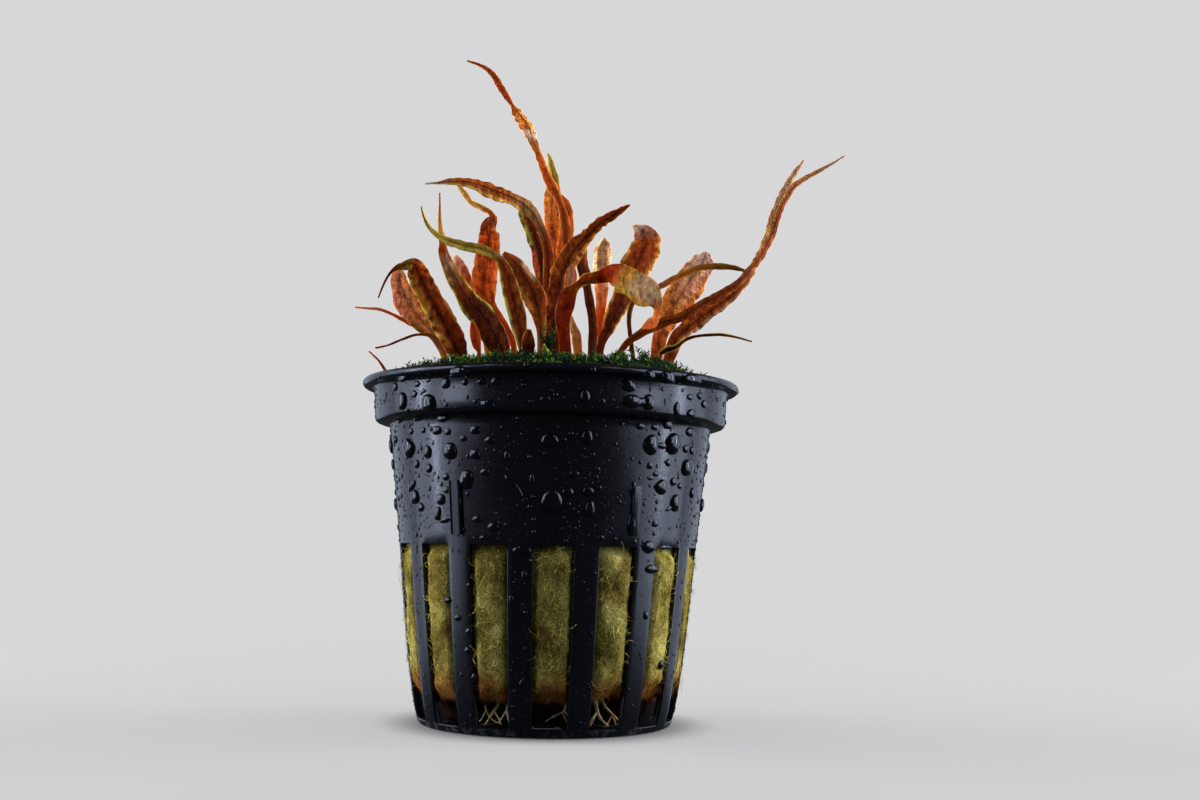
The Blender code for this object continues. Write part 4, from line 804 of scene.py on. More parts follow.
# ---- pot
def pot_profile():
    """The pot's (radius, height) from the middle of its underside up its outside and back down its inside."""
    rows = [SLOT_BOTTOM + (SLOT_TOP - SLOT_BOTTOM) * row / SLOT_ROWS for row in range(SLOT_ROWS + 1)]
    above = [SLOT_TOP + (NECK_HEIGHT - SLOT_TOP) * share for share in (0.1, 0.4, 0.7, 0.93)]
    outside = [(radius, 0) for radius in (0, *DRAIN_RADII, FOOT_RADIUS - 0.0009, FOOT_RADIUS - 0.0005)]
    outside += [(FOOT_RADIUS - 0.00022, 0.00006), (wall_radius(0.0002) - 0.00006, 0.0002)]
    outside += [(wall_radius(height), height) for height in [0.0004, 0.0007] + rows + above]
    outside += [
        (NECK_RADIUS - 0.00004, NECK_HEIGHT - 0.00025),
        (NECK_RADIUS + 0.00010, NECK_HEIGHT - 0.00004),
        (NECK_RADIUS + 0.00040, NECK_HEIGHT + 0.00008),
        (COLLAR_RADIUS - 0.00075, NECK_HEIGHT + 0.00022),
        (COLLAR_RADIUS - 0.00035, NECK_HEIGHT + 0.00036),
        (COLLAR_RADIUS - 0.00010, NECK_HEIGHT + 0.00060),
        (COLLAR_RADIUS, COLLAR_HEIGHT + 0.00015),
        (COLLAR_RADIUS + 0.00005, COLLAR_HEIGHT + 0.0012),
        (COLLAR_RADIUS + 0.00012, COLLAR_HEIGHT + 0.0028),
        (COLLAR_RADIUS + 0.00018, RIM_UNDERSIDE - 0.0006),
        (COLLAR_RADIUS + 0.00030, RIM_UNDERSIDE - 0.0002),
        (COLLAR_RADIUS + 0.00065, RIM_UNDERSIDE - 0.00002),
        (RIM_RADIUS - 0.00062, RIM_UNDERSIDE + 0.00004),
    ]
    for step in range(8):
        turn = math.radians(-65 + step * 155 / 7)
        round_lip = polar(LIP_ROUND, turn, 0)
        outside.append((RIM_RADIUS - LIP_ROUND + round_lip.x, RIM_UNDERSIDE + LIP_ROUND + round_lip.y))
    outside += [
        (RIM_RADIUS - 0.00095, POT_HEIGHT - 0.00005),
        (RIM_RADIUS - 0.00125, POT_HEIGHT - 0.00002),
        (COLLAR_RADIUS - 0.0001, POT_HEIGHT),
    ]
    inside = [
        (COLLAR_RADIUS - 0.00045, POT_HEIGHT - 0.00010),
        (COLLAR_RADIUS - 0.00075, POT_HEIGHT - 0.00040),
        (COLLAR_RADIUS - WALL, POT_HEIGHT - 0.0008),
        (COLLAR_RADIUS - WALL, COLLAR_HEIGHT + 0.0006),
        (COLLAR_RADIUS - WALL - 0.0003, COLLAR_HEIGHT - 0.0001),
        (NECK_RADIUS - WALL + 0.0002, NECK_HEIGHT + 0.0001),
        (NECK_RADIUS - WALL, NECK_HEIGHT - 0.0002),
    ]
    inside += [(wall_radius(height) - WALL, height) for height in reversed(rows + above[:2])]
    floor_radii = (FOOT_RADIUS - WALL - 0.0004, *reversed(DRAIN_RADII), 0)
    return outside + inside + [(radius, FLOOR_TOP) for radius in floor_radii]


def slot_of(angle):
    """The number of the slot that is nearest to an angle, and how far the angle is from the slot's middle."""
    past_first = angle - FIRST_SLOT_ANGLE
    number = round(past_first / math.tau * SLOTS)
    return number % SLOTS, past_first - number * math.tau / SLOTS


def pot_cup():
    """A turned cup. The faces between its slots' edges are taken out and the two walls joined there."""
    bm = bmesh.new()
    start = FIRST_SLOT_ANGLE - SLOT_HALF_ANGLE
    points = [bm.verts.new(polar(radius, start, height)) for radius, height in pot_profile()]
    last = points + [bm.edges.new(pair) for pair in zip(points, points[1:])]
    slot_angle = 2 * SLOT_HALF_ANGLE
    for angle, steps in ((slot_angle, SLOT_STEPS), (math.tau / SLOTS - slot_angle, RIB_STEPS)) * SLOTS:
        last = bmesh.ops.spin(bm, geom=last, cent=(0, 0, 0), axis=(0, 0, 1), angle=angle,
                              steps=steps)["geom_last"]
    bmesh.ops.remove_doubles(bm, verts=bm.verts, dist=2e-6)
    bmesh.ops.recalc_face_normals(bm, faces=bm.faces)
    openings = []
    for face in bm.faces:
        middle = face.calc_center_median()
        if SLOT_BOTTOM < middle.z < SLOT_TOP and abs(slot_of(angle_of(middle))[1]) < SLOT_HALF_ANGLE:
            openings.append(face)
    bmesh.ops.delete(bm, geom=openings, context="FACES")
    brims = {}
    for edge in bm.edges:
        if edge.is_boundary:
            middle = (edge.verts[0].co + edge.verts[1].co) / 2
            brims.setdefault(slot_of(angle_of(middle))[0], []).append(edge)
    for brim in brims.values():
        bmesh.ops.bridge_loops(bm, edges=brim)
    edges = [edge for brim in brims.values() for edge in brim]
    bmesh.ops.bevel(bm, geom=edges, offset=SLOT_EDGE, segments=2, profile=0.5, affect="EDGES", material=-1)
    bmesh.ops.recalc_face_normals(bm, faces=bm.faces)
    return bm


def drained(bm):
    """The cup with drain holes cut through its floor."""
    cup = placed("cup", mesh_of(bm, "cup"))
    cutters = bmesh.new()
    for number in range(DRAINS):
        angle = math.tau * number / DRAINS
        wedge(cutters, angle, DRAIN_HALF_ANGLE, DRAIN_HEIGHTS, lambda height: DRAIN_RADII)
    holes = placed("holes", mesh_of(cutters, "holes"))
    modifier = cup.modifiers.new("holes", "BOOLEAN")
    modifier.operation = "DIFFERENCE"
    modifier.object = holes
    modifier.solver = "EXACT"
    bpy.context.view_layer.update()
    mesh = bpy.data.meshes.new_from_object(cup.evaluated_get(bpy.context.evaluated_depsgraph_get()))
    bpy.data.objects.remove(cup)
    bpy.data.objects.remove(holes)
    bm = bmesh.new()
    bm.from_mesh(mesh)
    return bm


def net_pot(material):
    """The cup with its slots and drain holes, and the small upright bars on its wall."""
    bm = drained(pot_cup())
    for angle in BAR_ANGLES:
        bar = wedge(bm, angle, BAR_HALF_ANGLE, BAR_HEIGHTS,
                    lambda height: (wall_radius(height) - WALL / 2, wall_radius(height) + BAR_PROUD))
        edges = {edge for corner in bar for edge in corner.link_edges}
        bmesh.ops.bevel(bm, geom=list(edges), offset=BAR_EDGE, segments=4, profile=0.5, affect="EDGES",
                        material=-1)
    pot = finished("net_pot_fine", bm, material, "black_plastic", "net_pot")
    pot.data.set_sharp_from_angle(angle=SHARP_ANGLE)


# ---- rock wool
def wool_radius(angle, height):
    """The wool's surface, which fills the pot and bulges into its slots."""
    radius = wall_radius(height) - WALL - GAP
    inwards = 1 - between(abs(slot_of(angle)[1]), SLOT_HALF_ANGLE * 0.72, SLOT_HALF_ANGLE * 0.99)
    upwards = between(height, WOOL_BOTTOM + 0.0002, WOOL_BOTTOM + 0.0022)
    upwards *= 1 - between(height, SLOT_TOP - 0.0018, SLOT_TOP - 0.0003)
    lump = noise.noise(polar(radius, angle, height) * 420)
    fuzz = noise.noise(polar(radius, angle, height) * 1500)
    return radius + inwards * upwards * (WOOL_BULGE + 0.00022 * lump) + 0.00010 * fuzz


def ragged_end(angle):
    """How far the wool's lower end is torn away, or hangs down, going round it."""
    torn = 0.0008 * noise.noise(polar(9, angle, 3.1)) + 0.0004 * noise.noise(polar(30, angle, 8.4))
    right = math.cos(angle)
    return torn + 0.0010 * between(right, 0.15, 0.5) - 0.0004 * between(-right, 0.2, 0.7)


def foot_widening(angle):
    """How much wider the foot is than in front, where the roots hang."""
    return WOOL_FOOT_WIDENING * between(math.sin(angle), -0.83, -0.72)


def rock_wool(material):
    """A torn, bulging plug, with a narrower foot that hangs near the floor. The foot and the lowest wool are
    painted near-black as the shade in the bottom of the pot.
    """
    profile = [(0, WOOL_FOOT_BOTTOM)]
    for row in range(7):
        height = WOOL_FOOT_BOTTOM + (WOOL_BOTTOM - WOOL_FOOT_BOTTOM) * row / 6
        profile.append((WOOL_FOOT_RADIUS * (0.9 + 0.1 * row / 6), height))
    profile.append((WOOL_FOOT_RADIUS + WOOL_FOOT_FLARE, WOOL_BOTTOM))
    heights = [WOOL_BOTTOM + (SLOT_TOP - WOOL_BOTTOM) * row / WOOL_ROWS for row in range(WOOL_ROWS + 1)]
    heights += [SLOT_TOP + (WOOL_TOP - SLOT_TOP) * row / 6 for row in range(1, 7)]
    profile += [(WOOL_RADIUS, height) for height in heights] + [(0, WOOL_TOP)]
    bm = turned(profile, SLOTS * WOOL_STEPS)
    for point in bm.verts:
        place = point.co.copy()
        radius = math.hypot(place.x, place.y)
        angle = angle_of(place)
        if radius > WOOL_RADIUS * 0.95:
            share = (place.z - WOOL_BOTTOM) / (SLOT_TOP - WOOL_BOTTOM)
            drop = ragged_end(angle) * (1 - between(share, 0, 0.25))
            point.co = polar(wool_radius(angle, place.z), angle, place.z + drop)
        elif radius > 1e-6:
            rough = 0.0005 * noise.noise(place * 900) + 0.0004 * noise.noise(place * 350)
            wide = radius + rough + foot_widening(angle) * (radius > WOOL_FOOT_RADIUS * 0.8)
            point.co = polar(wide, angle, place.z + max(rough, 0))
    bmesh.ops.recalc_face_normals(bm, faces=bm.faces)
    finished("rock_wool_plug", bm, material, "rock_wool", "rock_wool")


def fibre(draw):
    """A hair with a curl in its middle and a sway towards its tip."""
    curl, sway = draw.uniform(0.15, 0.4), draw.uniform(-0.3, 0.3)
    turn = draw.uniform(0, math.tau)
    length = draw.uniform(1.3, 2.6) * MM

    def bend(share):
        arc = curl * math.sin(math.pi * share) + sway * share * share
        return polar(1, turn, 0) * arc * length

    return template(strand(length, FIBRE_RADIUS, FIBRE_TIP_RADIUS, 4, bend))


def wool_fibres(material):
    """Fine hairs that lie on the wool where the slots show it, and a fringe along its lower end."""
    draw = random.Random(11)
    fibres = [fibre(draw) for number in range(FIBRE_KINDS)]
    placements = []
    for slot, number in itertools.product(range(SLOTS), range(FIBRES_PER_SLOT)):
        middle = FIRST_SLOT_ANGLE + slot * math.tau / SLOTS
        angle = middle + draw.uniform(-1, 1) * SLOT_HALF_ANGLE * 0.92
        height = draw.uniform(WOOL_BOTTOM + 0.0004, SLOT_TOP - 0.0006)
        fringe = number < FRINGE_FIBRES
        if fringe:
            height = WOOL_BOTTOM + ragged_end(angle) + draw.uniform(0.0, 0.0012)
        height = max(height, WOOL_BOTTOM + 0.0003)
        outward = polar(1, angle, 0)
        along = sideways(outward)
        place = polar(wool_radius(angle, height) - draw.uniform(0.0, 0.00006), angle, height)
        tilt = draw.uniform(0, math.tau)
        axis = along * math.cos(tilt) + Vector((0, 0, math.sin(tilt))) + outward * draw.uniform(-0.05, 0.16)
        if fringe:
            axis = along * draw.uniform(-0.7, 0.7) + Vector((0, 0, -1)) + outward * draw.uniform(-0.3, 0.1)
        from_edge = (SLOT_HALF_ANGLE - abs(angle - middle)) / SLOT_HALF_ANGLE
        size = draw.uniform(0.5, 1.0) * (0.6 if fringe else 0.35 + 0.65 * min(from_edge * 2.0, 1))
        if from_edge < 0.3:
            axis = axis - along * math.copysign(0.6, angle - middle) * draw.random()
        placements.append((draw.choice(fibres), set_up(place, axis, draw.uniform(0, math.tau), size)))
    finished("rock_wool_fibres", scattered(placements), material, "rock_wool")


# ---- roots
def smooth_row(rows, share):
    """The row of values at a share of the way along a smooth curve through all rows."""
    place = share * (len(rows) - 1)
    first = min(int(place), len(rows) - 2)
    t = place - first
    before = rows[max(first - 1, 0)]
    start = rows[first]
    end = rows[first + 1]
    after = rows[min(first + 2, len(rows) - 1)]
    line = 2 * start + (end - before) * t
    bend = (2 * before - 5 * start + 4 * end - after) * t * t
    twist = (3 * start - before - 3 * end + after) * t * t * t
    return (line + bend + twist) / 2


def add_root(bm, rows, radius, tip_radius, draw):
    """A tapered root with a knotty skin through rows of points."""
    steps = 5 * (len(rows) - 1)
    rings = []
    for step in range(steps + 1):
        share = step / steps
        here = smooth_row(rows, share)
        ahead = smooth_row(rows, min(share + 0.03, 1)) - smooth_row(rows, max(share - 0.03, 0))
        wide = (radius + (tip_radius - radius) * share) * draw.uniform(0.85, 1.15)
        ring = bmesh.ops.create_circle(bm, segments=7, radius=wide, matrix=set_up(here, ahead))["verts"]
        rings.append(list({edge for point in ring for edge in point.link_edges}))
    for lower, upper in zip(rings, rings[1:]):
        bmesh.ops.bridge_loops(bm, edges=lower + upper)
    bmesh.ops.contextual_create(bm, geom=rings[0])
    bmesh.ops.contextual_create(bm, geom=rings[-1])


def roots(material):
    """Each root starts a little inside the wool and has short side roots."""
    draw = random.Random(5)
    for name, route in ROOTS.items():
        rows = [Vector(row) * MM for row in route]
        rows.insert(0, rows[0] + Vector((rows[0].x * -0.04, rows[0].y * -0.04, ROOT_START)))
        bm = bmesh.new()
        thick = THICK_ROOTS.get(name, THIN_ROOT) * MM
        add_root(bm, rows, thick, thick * 0.55, draw)
        for number in range(ROOT_FORKS):
            start = smooth_row(rows, draw.uniform(0.4, 0.7))
            aside = sideways(Vector((start.x, start.y, 0)).normalized()) * draw.choice((-1, 1))
            fork = [start]
            for step in (1, 2, 3):
                drop = min(0.0006 * step, start.z - ROOT_FLOOR)
                fork.append(start + aside * 0.0004 * step * draw.uniform(0.8, 1.2) - Vector((0, 0, drop)))
            add_root(bm, fork, thick * 0.6, thick * 0.25, draw)
        bmesh.ops.recalc_face_normals(bm, faces=bm.faces)
        finished(name + "_fine", bm, material, "root", name)


# ---- moss
def moss_floor(material):
    """The tangle that the sprigs stand in, which its material paints nearly black as the shade between them.
    """
    high = POT_HEIGHT + 0.01
    profile = [(0, MOSS_BOTTOM), (MOSS_RADIUS - 0.0010, MOSS_BOTTOM)]
    profile.append((MOSS_RADIUS - 0.0003, MOSS_BOTTOM + 0.0006))
    profile += [((MOSS_RADIUS - 0.0002) * (1 - ring / MOSS_RINGS), high) for ring in range(MOSS_RINGS)]
    bm = turned(profile + [(0, high)], 96)
    for point in bm.verts:
        if point.co.z > POT_HEIGHT:
            place = point.co.copy()
            lump = noise.noise(place * 700) * 0.00035 + noise.noise(place * 260) * 0.0003
            point.co.z = moss_height(place.x, place.y) - MOSS_DEPTH + lump
    bmesh.ops.recalc_face_normals(bm, faces=bm.faces)
    finished("moss_floor", bm, material, "moss", "moss_mat")


def moss_sprig(draw, length, leaflets):
    """A bent stem with pointed leaflets all round it, each brighter towards its tip."""
    lean = draw.uniform(0.05, 0.45)
    turn = draw.uniform(0, math.tau)

    def bend(share):
        return polar(1, turn, 0) * lean * share * share * length

    bm = strand(length, STEM_RADIUS, STEM_TIP_RADIUS, 3, bend)
    layer = bm.verts.layers.float.new("tip")
    for number in range(leaflets):
        share = 0.30 + 0.70 * (number + 0.5) / leaflets
        foot = Vector((0, 0, share * length)) + bend(share)
        angle = number * 2.4 + draw.uniform(-0.4, 0.4)
        axis = polar(1, angle, draw.uniform(0.4, 1.3))
        long = draw.uniform(0.50, 0.95) * MM * (1.2 - 0.5 * share)
        matrix = set_up(foot, axis, angle) @ Matrix.Diagonal((1, 0.4, 1, 1))
        matrix = matrix @ Matrix.Translation((0, 0, long / 2))
        leaflet = bmesh.ops.create_cone(bm, cap_ends=True, cap_tris=True, segments=3, radius1=LEAFLET_RADIUS,
                                        radius2=0, depth=long, matrix=matrix)["verts"]
        for point in leaflet:
            far = min((point.co - foot).length / long, 1)
            point[layer] = min(share * (0.15 + 0.85 * far), 1.0)
    return template(bm)


def moss(material):
    """Sprigs over the whole mat, up to the height of its solid, with a loose fringe round its edge."""
    draw = random.Random(23)
    sprigs = [moss_sprig(draw, draw.uniform(1.5, 2.1) * MM, 8) for number in range(MOSS_KINDS)]
    for part in range(MOSS_PATCHES):
        placements = []
        for number in range(MOSS_SPRIGS):
            radius = (MOSS_RADIUS - 0.0004) * math.sqrt(draw.random())
            angle = (part + draw.random()) * math.tau / MOSS_PATCHES
            place = polar(radius, angle, 0)
            if noise.noise(place * 330) < -0.10 and draw.random() < BARE_SHARE:
                continue
            size = draw.uniform(0.6, 1.25)
            place.z = moss_height(place.x, place.y) - size * SPRIG_DEPTH + draw.uniform(-0.5, 0.25) * MM
            axis = Vector((draw.uniform(-0.5, 0.5), draw.uniform(-0.5, 0.5), 1))
            axis += polar(0.35 * between(radius, MOSS_RADIUS * 0.85, MOSS_RADIUS), angle, 0)
            placements.append((draw.choice(sprigs), set_up(place, axis, draw.uniform(0, math.tau), size)))
        finished(f"moss_sprigs_{part + 1}", scattered(placements), material, "moss")


def moss_tuft(material):
    """A narrow upright sprig near the middle of the front."""
    draw = random.Random(7)
    foot = Vector((*TUFT_PLACE, moss_height(*TUFT_PLACE) - TUFT_SINK))
    placements = []
    for number in range(TUFT_SPRIGS):
        sprig = moss_sprig(draw, draw.uniform(0.55, 1.0) * (TUFT_HEIGHT + TUFT_SINK), 14)
        place = foot + polar(draw.uniform(0, 0.45) * TUFT_RADIUS, draw.uniform(0, math.tau), 0)
        axis = Vector((draw.uniform(-0.09, 0.09), draw.uniform(-0.09, 0.09), 1))
        placements.append((sprig, set_up(place, axis, draw.uniform(0, math.tau), draw.uniform(0.85, 1.0))))
    finished("moss_tuft_fine", scattered(placements), material, "moss", "moss_tuft")


# ---- leaves
def key_value(keys, share):
    """The value at a share of the length, on straight lines between keys."""
    for (start, low), (end, high) in zip(keys, keys[1:]):
        if share <= end:
            return low + (high - low) * (share - start) / (end - start)
    return keys[-1][1]


def leaf_rows(depths, turns, route):
    """The route as rows of x, y, z, width and turn, with its foot on the moss."""
    rows = []
    for number, (x, z, seen_width) in enumerate(route):
        share = number / (len(route) - 1)
        seen = Vector((x * MM, 0, z * MM))
        away = 1 + key_value(depths, share) * MM / -EYE.y
        turn = math.radians(key_value(turns, share))
        place = EYE + (seen - EYE) * away
        width = seen_width * MM * away / max(math.cos(turn), 0.4)
        rows.append(Vector((*place, width, turn)))
    rows[0][2] = moss_height(rows[0][0], rows[0][1]) + GAP + LEAF_THICKNESS / 2
    return rows


def colour_at(stops, share):
    """The colour at a share of the length, in soft steps from stop to stop."""
    for (start, low), (end, high) in zip(stops, stops[1:]):
        if share <= end:
            return Vector(low).lerp(Vector(high), between(share, start, end))
    return Vector(stops[-1][1])


def blade_colour(look, share, across):
    """The colour of a place on the blade, from the leaf's stops and then its zones."""
    stops, zones = look
    colour = colour_at(stops, share)
    for side, start, end, inner, paint in zones:
        reach = abs(across) if side == 0 else across * side
        along = between(share, start - 0.03, start + 0.03) * (1 - between(share, end - 0.03, end + 0.03))
        amount = along * between(reach, inner - 0.14, inner + 0.10)
        colour = colour.lerp(Vector(paint), amount)
    return colour


def blade_frames(rows, stations):
    """The row of values at each station along a leaf, and the blade's directions across it and out of it."""
    frames = []
    for step in range(stations + 1):
        share = step / stations
        row = smooth_row(rows, share)
        ahead = smooth_row(rows, min(share + 0.01, 1)).xyz - smooth_row(rows, max(share - 0.01, 0)).xyz
        side = ahead.cross(row.xyz - EYE).normalized()
        side.rotate(Quaternion(ahead.normalized(), row[4]))
        frames.append((row, side, side.cross(ahead).normalized()))
    return frames


def leaf(number, name, route, look, material, slot):
    """A thin wavy blade along its route, with a folded midrib, raised cells and ruffled margins."""
    rows = leaf_rows(*route)
    seed = number * 7.31
    length = sum((end.xyz - start.xyz).length for start, end in zip(rows, rows[1:]))
    stations = min(max(round(length / SHEET_SPACING), 14), 150)
    frames = blade_frames(rows, stations)
    crinkle = CRINKLES.get(name, 0.4)
    bm = bmesh.new()
    tint = bm.verts.layers.float_color.new("tint")
    blade = bm.verts.layers.float_vector.new("blade")
    bmesh.ops.create_grid(bm, x_segments=stations, y_segments=SHEET_STRIPS, size=1)
    for point in bm.verts:
        share = (point.co.x + 1) / 2
        across = point.co.y
        edge = abs(across)
        row, side, face = frames[round(share * stations)]
        along = share * length
        half = max(row[3], 0.0001) / 2
        broad = min(half / BROAD_HALF_WIDTH, 1.0)
        hand = 1 if across > 0 else -1
        wobble = noise.noise(Vector((along * 420, hand * 3.7, seed)))
        scallop = math.sin(along / SCALLOP_LENGTH + hand * 1.3 + seed + 5.0 * wobble)
        half *= 1 + edge * (0.20 * wobble + 0.045 * crinkle * scallop)
        phase = along / CELL_LENGTH * math.pi - edge * 1.1 + hand * 0.5 + seed + 1.1 * wobble
        cells = abs(math.sin(phase)) - 0.6
        ruffle = math.sin(along / RUFFLE_LENGTH + hand * 1.9 + seed + 4.5 * wobble)
        ruffle += 0.9 * noise.noise(Vector((along * 600, hand * 9.1, seed)))
        ends = between(share, 0.0, 0.15) * (1 - between(share, 0.93, 1.0) * 0.6)
        lift = LEAF_FOLD * edge * half
        lift -= CELL_LIFT * broad * cells * math.sin(math.pi * min(edge * 1.05, 1)) * ends
        lift += RUFFLE_LIFT * crinkle * broad * ruffle * edge ** 3.2 * ends
        lift += RIB_LIFT * broad * math.exp(-(edge / 0.13) ** 2)
        point.co = row.xyz + side * across * half + face * lift
        point[tint] = (*blade_colour(look, share, across), broad)
        point[blade] = (along / MM, across, number * 0.137 % 1)
    lowest = {point for point in bm.verts if point[blade].x < 1e-6}
    foot_edges = [edge for edge in bm.edges if lowest.issuperset(edge.verts)]
    below = rows[0].xyz - Vector((0, 0, FOOT_DEPTH))
    for point in bmesh.ops.extrude_edge_only(bm, edges=foot_edges)["geom"]:
        if isinstance(point, bmesh.types.BMVert):
            point.co = below + (point.co - rows[0].xyz) * FOOT_NARROWING
    bmesh.ops.recalc_face_normals(bm, faces=bm.faces)
    piece = finished(name + "_blade", bm, material, slot, name)
    solidify = piece.modifiers.new("thickness", "SOLIDIFY")
    solidify.thickness = SHEET_THICKNESS
    solidify.offset = 0


def leaves():
    """All leaves, each with its kind's material. Light reaches further into the paler kinds."""
    skins = {}
    for kind, reach, rib_and_shade_depth in (
        (BROWN, 0.26, 0.8), (DARK, 0.22, 0.9), (ORANGE, 0.34, 0.6), (PINK, 0.48, 0.2),
        (OLIVE_KIND, 0.28, 0.7),
    ):
        skins[kind] = leaf_finish(kind, reach * MM, rib_and_shade_depth)
    for number, (name, (kind, *route)) in enumerate(LEAVES.items()):
        leaf(number, name, route, LOOKS[name], skins[kind], kind)


# ---- water beads on the pot
def on_pot(x, z):
    """The place on the pot's front that the eye sees at x, z on the pot's middle plane."""
    seen = Vector((x * MM, 0, z * MM))
    near, far = 0.8, 1.0
    for halving in range(30):
        share = (near + far) / 2
        place = EYE + (seen - EYE) * share
        if math.hypot(place.x, place.y) > outside_radius(place.z):
            near = share
        else:
            far = share
    return place


def wet_spot(place, width, height, draw, lean=0, around=22, rings=12):
    """A bead that clings to the pot's outer wall, as a template that is in its place already."""
    bm = bmesh.new()
    angle = angle_of(place)
    radius = math.hypot(place.x, place.y)
    proud = 0.21 * min(width, height) + 0.04 * max(width, height)
    waves = [draw.uniform(-0.05, 0.05) for harmonic in range(3)]
    turn = math.radians(lean)
    for point in bmesh.ops.create_uvsphere(bm, u_segments=around, v_segments=rings, radius=1)["verts"]:
        u, v, out = point.co
        theta = math.atan2(v, u)
        wave = 1 + sum(size * math.cos((harmonic + 2) * theta) for harmonic, size in enumerate(waves))
        sag = 1 - 0.12 * v
        u, v = u * wave * sag * width / 2, v * wave * height / 2
        u, v = u * math.cos(turn) - v * math.sin(turn), u * math.sin(turn) + v * math.cos(turn)
        low = place.z + v
        lift = proud * (out ** 0.8 if out > 0 else out * 0.04)
        surface = outside_radius(min(max(low, 0.0004), RIM_UNDERSIDE - 0.0002))
        if place.z > RIM_UNDERSIDE - 0.0002:
            surface = radius
        point.co = polar(surface + lift, angle + u / radius, low)
    return template(bm), Matrix()


def plastic_at(angle, height):
    """Whether the pot's wall is there, not a slot."""
    inside_slot = abs(slot_of(angle)[1]) < SLOT_HALF_ANGLE + 0.02
    return not (inside_slot and SLOT_BOTTOM - 0.0004 < height < SLOT_TOP + 0.0004)


def large_beads(material):
    """The beads that can be seen in front, and others at the sides and behind. Returns where they are."""
    draw = random.Random(3)
    beads = []
    taken = []
    for x, z, width, height, *lean in BEADS:
        place = on_pot(x, z)
        facing = max(-place.y / math.hypot(place.x, place.y), 0.35)
        beads.append(wet_spot(place, width * MM / facing, height * MM, draw, *lean))
        taken.append((place, max(width, height) * MM / 2))
    for number in range(BACK_BEAD_TRIES):
        angle = draw.uniform(*BACK_BEAD_ANGLES)
        height = draw.uniform(*BACK_BEAD_HEIGHTS)
        if NECK_HEIGHT - 0.0006 < height < COLLAR_HEIGHT + 0.0008:
            continue
        size = draw.uniform(0.6, 1.9) * MM
        place = polar(outside_radius(height), angle, height)
        if any((place - other).length < reach + size * 0.8 for other, reach in taken):
            continue
        beads.append(wet_spot(place, size, size * draw.uniform(1.0, 1.35), draw, around=12, rings=8))
        taken.append((place, size * 0.6))
    finished("water_beads_large", scattered(beads), material, "black_plastic")
    return taken


def small_beads(material, taken):
    """Thousands of small beads on the wall, the collar, the lip and the ribs, apart from each other."""
    draw = random.Random(17)
    beads = []
    for around, rings in ((10, 6), (7, 4)):
        bm = bmesh.new()
        bmesh.ops.create_uvsphere(bm, u_segments=around, v_segments=rings, radius=0.5)
        for point in bm.verts:
            point.co.z *= 0.50 if point.co.z > 0 else 0.1
        beads.append(template(bm))
    cells = {}

    def cell_of(place):
        return tuple(round(value / SMALL_BEAD_CELL) for value in place)

    def near(place):
        for step in itertools.product((-1, 0, 1), repeat=3):
            yield from cells.get(tuple(map(sum, zip(cell_of(place), step))), ())

    for place, reach in taken:
        cells.setdefault(cell_of(place), []).append((place, reach))
    placements = []
    for number in range(SMALL_BEAD_TRIES):
        angle = draw.uniform(-math.pi, math.pi)
        height = draw.uniform(0.0012, POT_HEIGHT - 0.0004)
        low = height < SLOT_TOP
        if not plastic_at(angle, height) or low and draw.random() < 0.25:
            continue
        size = draw.choice(SMALL_BEAD_SIZES) * MM * draw.uniform(0.8, 1.15)
        if low:
            size *= 0.8
        slope = (outside_radius(height + 0.0002) - outside_radius(height - 0.0002)) / 0.0004
        if abs(slope) > STEEPEST:
            continue
        place = polar(outside_radius(height), angle, height)
        reach = size * 0.55
        if any((place - other).length < reach + size for other, size in near(place)):
            continue
        cells.setdefault(cell_of(place), []).append((place, reach))
        tall = Matrix.Diagonal((1, draw.uniform(0.95, 1.3), 1, 1))
        placements.append((beads[size < 0.5 * MM], set_up(place, polar(1, angle, -slope), 0, size) @ tall))
    finished("water_beads_small", scattered(placements), material, "black_plastic")


# ---- camera, floor and light
def camera():
    """The eye that the photograph was taken from."""
    data = bpy.data.cameras.new("camera")
    data.lens = LENS
    data.sensor_width = SENSOR_WIDTH
    data.clip_start = 0.01
    data.clip_end = 20
    thing = placed("camera", data)
    level, climb = math.cos(CAMERA_PITCH), math.sin(CAMERA_PITCH)
    ahead = Vector((math.sin(CAMERA_YAW) * level, math.cos(CAMERA_YAW) * level, climb))
    right = Vector((math.cos(CAMERA_YAW), -math.sin(CAMERA_YAW), 0))
    up = right.cross(ahead)
    rolled_right = right * math.cos(CAMERA_ROLL) + up * math.sin(CAMERA_ROLL)
    rolled_up = up * math.cos(CAMERA_ROLL) - right * math.sin(CAMERA_ROLL)
    turn = Matrix((rolled_right, rolled_up, -ahead)).transposed()
    thing.matrix_world = Matrix.Translation(EYE) @ turn.to_4x4()
    bpy.context.scene.camera = thing


def floor_paint():
    """Grey that fades to a lit white backdrop, with a painted shadow right beneath the pot."""
    finish = Finish("floor_paint")
    x, y = finish.parts(finish.place)[:2]
    radius = (x * x + y * y) ** 0.5
    far = finish.step(radius, 0.03, 0.26)
    # Painted shadow: the floor's glow drops to dark right beneath the pot
    painted_contact_shadow = 1 - finish.step(radius, 0.016, 0.026)
    near = finish.mix(finish.noise(3, 3), (0.15, 0.15, 0.15), (0.17, 0.17, 0.165))
    lit = finish.mix(painted_contact_shadow, finish.mix(far, (0.38, 0.38, 0.385), (0.68, 0.68, 0.69)), (0.06, 0.06, 0.06))
    return finish.surface(finish.mix(far, near, (0.0005, 0.0005, 0.0005)), 0.9, Specular_IOR_Level=0.0,
                          Emission_Color=lit, Emission_Strength=1.0)


def floor():
    """A pale floor that rises into a pale backdrop all round."""
    bm = turned([(radius, height - FLOOR_DROP) for radius, height in FLOOR_PROFILE], 64)
    thing = placed("floor", mesh_of(bm, "floor"))
    thing.data.materials.append(floor_paint())
    thing.visible_glossy = False
    thing.visible_diffuse = False


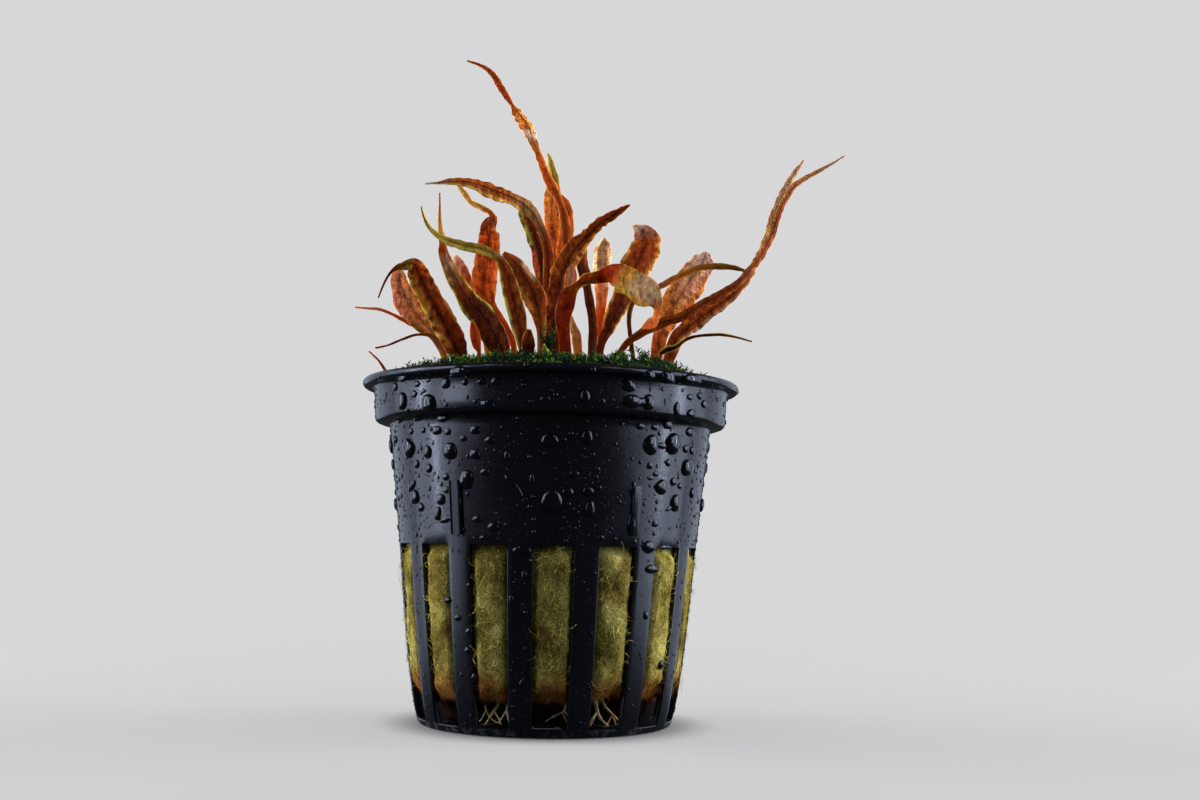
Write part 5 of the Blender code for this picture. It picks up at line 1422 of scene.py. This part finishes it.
def softbox(name, place, size, brightness, colour, shown=True):
    """A rectangular light that faces the pot. Its brightness is what is seen in a mirror."""
    data = bpy.data.lights.new(name, "AREA")
    data.shape = "RECTANGLE"
    data.size, data.size_y = size
    data.energy = brightness * math.pi * size[0] * size[1]
    data.color = colour
    place = Vector(place)
    aim = Vector((0, 0, POT_MIDDLE if place.z > HIGH_LIGHT else place.z)) - place
    thing = placed(name, data)
    thing.matrix_world = Matrix.LocRotScale(place, aim.to_track_quat("-Z", "Y"), Vector((1, 1, 1)))
    thing.visible_glossy = shown
    thing.visible_camera = False


def beside(azimuth, height):
    """A place at an angle in degrees from the line towards the eye, positive to the right."""
    return polar(LIGHT_DISTANCE, math.radians(azimuth - 90), height)


def lights():
    """Boxes and strips that the black plastic mirrors at both sides, and hidden ones that light the rest."""
    for side, name in ((-1, "left"), (1, "right")):
        softbox(f"{name}_softbox", beside(side * 92, 0.15), (0.44, 0.50), 2.2, COOL)
        softbox(f"{name}_strip", beside(side * 88, 0.15), (0.014, 0.36), 38.0, COOL)
        softbox(f"{name}_front_card", beside(side * 61, 0.19), (0.18, 0.34), 5.0, COOL)
        softbox(f"{name}_high_card", beside(side * 40, 0.38), (0.04, 0.10), 16.0, COOL)
        softbox(f"{name}_back_card", beside(side * 138, 0.13), (0.36, 0.46), 0.8, COOL)
        softbox(f"{name}_fill", beside(side * 108, 0.10), (0.30, 0.30), 23.0, WARM, shown=False)
    softbox("front_fill", (0.20, -0.48, 0.30), (0.24, 0.24), 0.90, WARM, shown=False)
    softbox("back_softbox", (0.0, 0.75, 0.45), (1.4, 0.8), 2.1, (1.0, 0.97, 0.92), shown=False)
    softbox("top_softbox", (0.0, -0.30, 0.80), (0.7, 0.5), 1.1, (1.0, 0.98, 0.95), shown=False)
    world = bpy.data.worlds.new("studio")
    world.use_nodes = True
    background = world.node_tree.nodes["Background"]
    background.inputs["Color"].default_value = (0.85, 0.92, 1.0, 1)
    background.inputs["Strength"].default_value = 0.045
    bpy.context.scene.world = world
    bpy.context.scene.view_settings.view_transform = "Standard"


def main():
    camera()
    floor()
    lights()
    net_pot(black_plastic())
    rock_wool(rock_wool_finish("rock_wool", brightness=0.60))
    wool_fibres(rock_wool_finish("rock_wool_hair", brightness=1.6))
    roots(root_finish())
    moss_floor(moss_floor_finish())
    green = moss_finish()
    moss(green)
    moss_tuft(green)
    leaves()
    water = water_finish()
    small_beads(water, large_beads(water))


main()
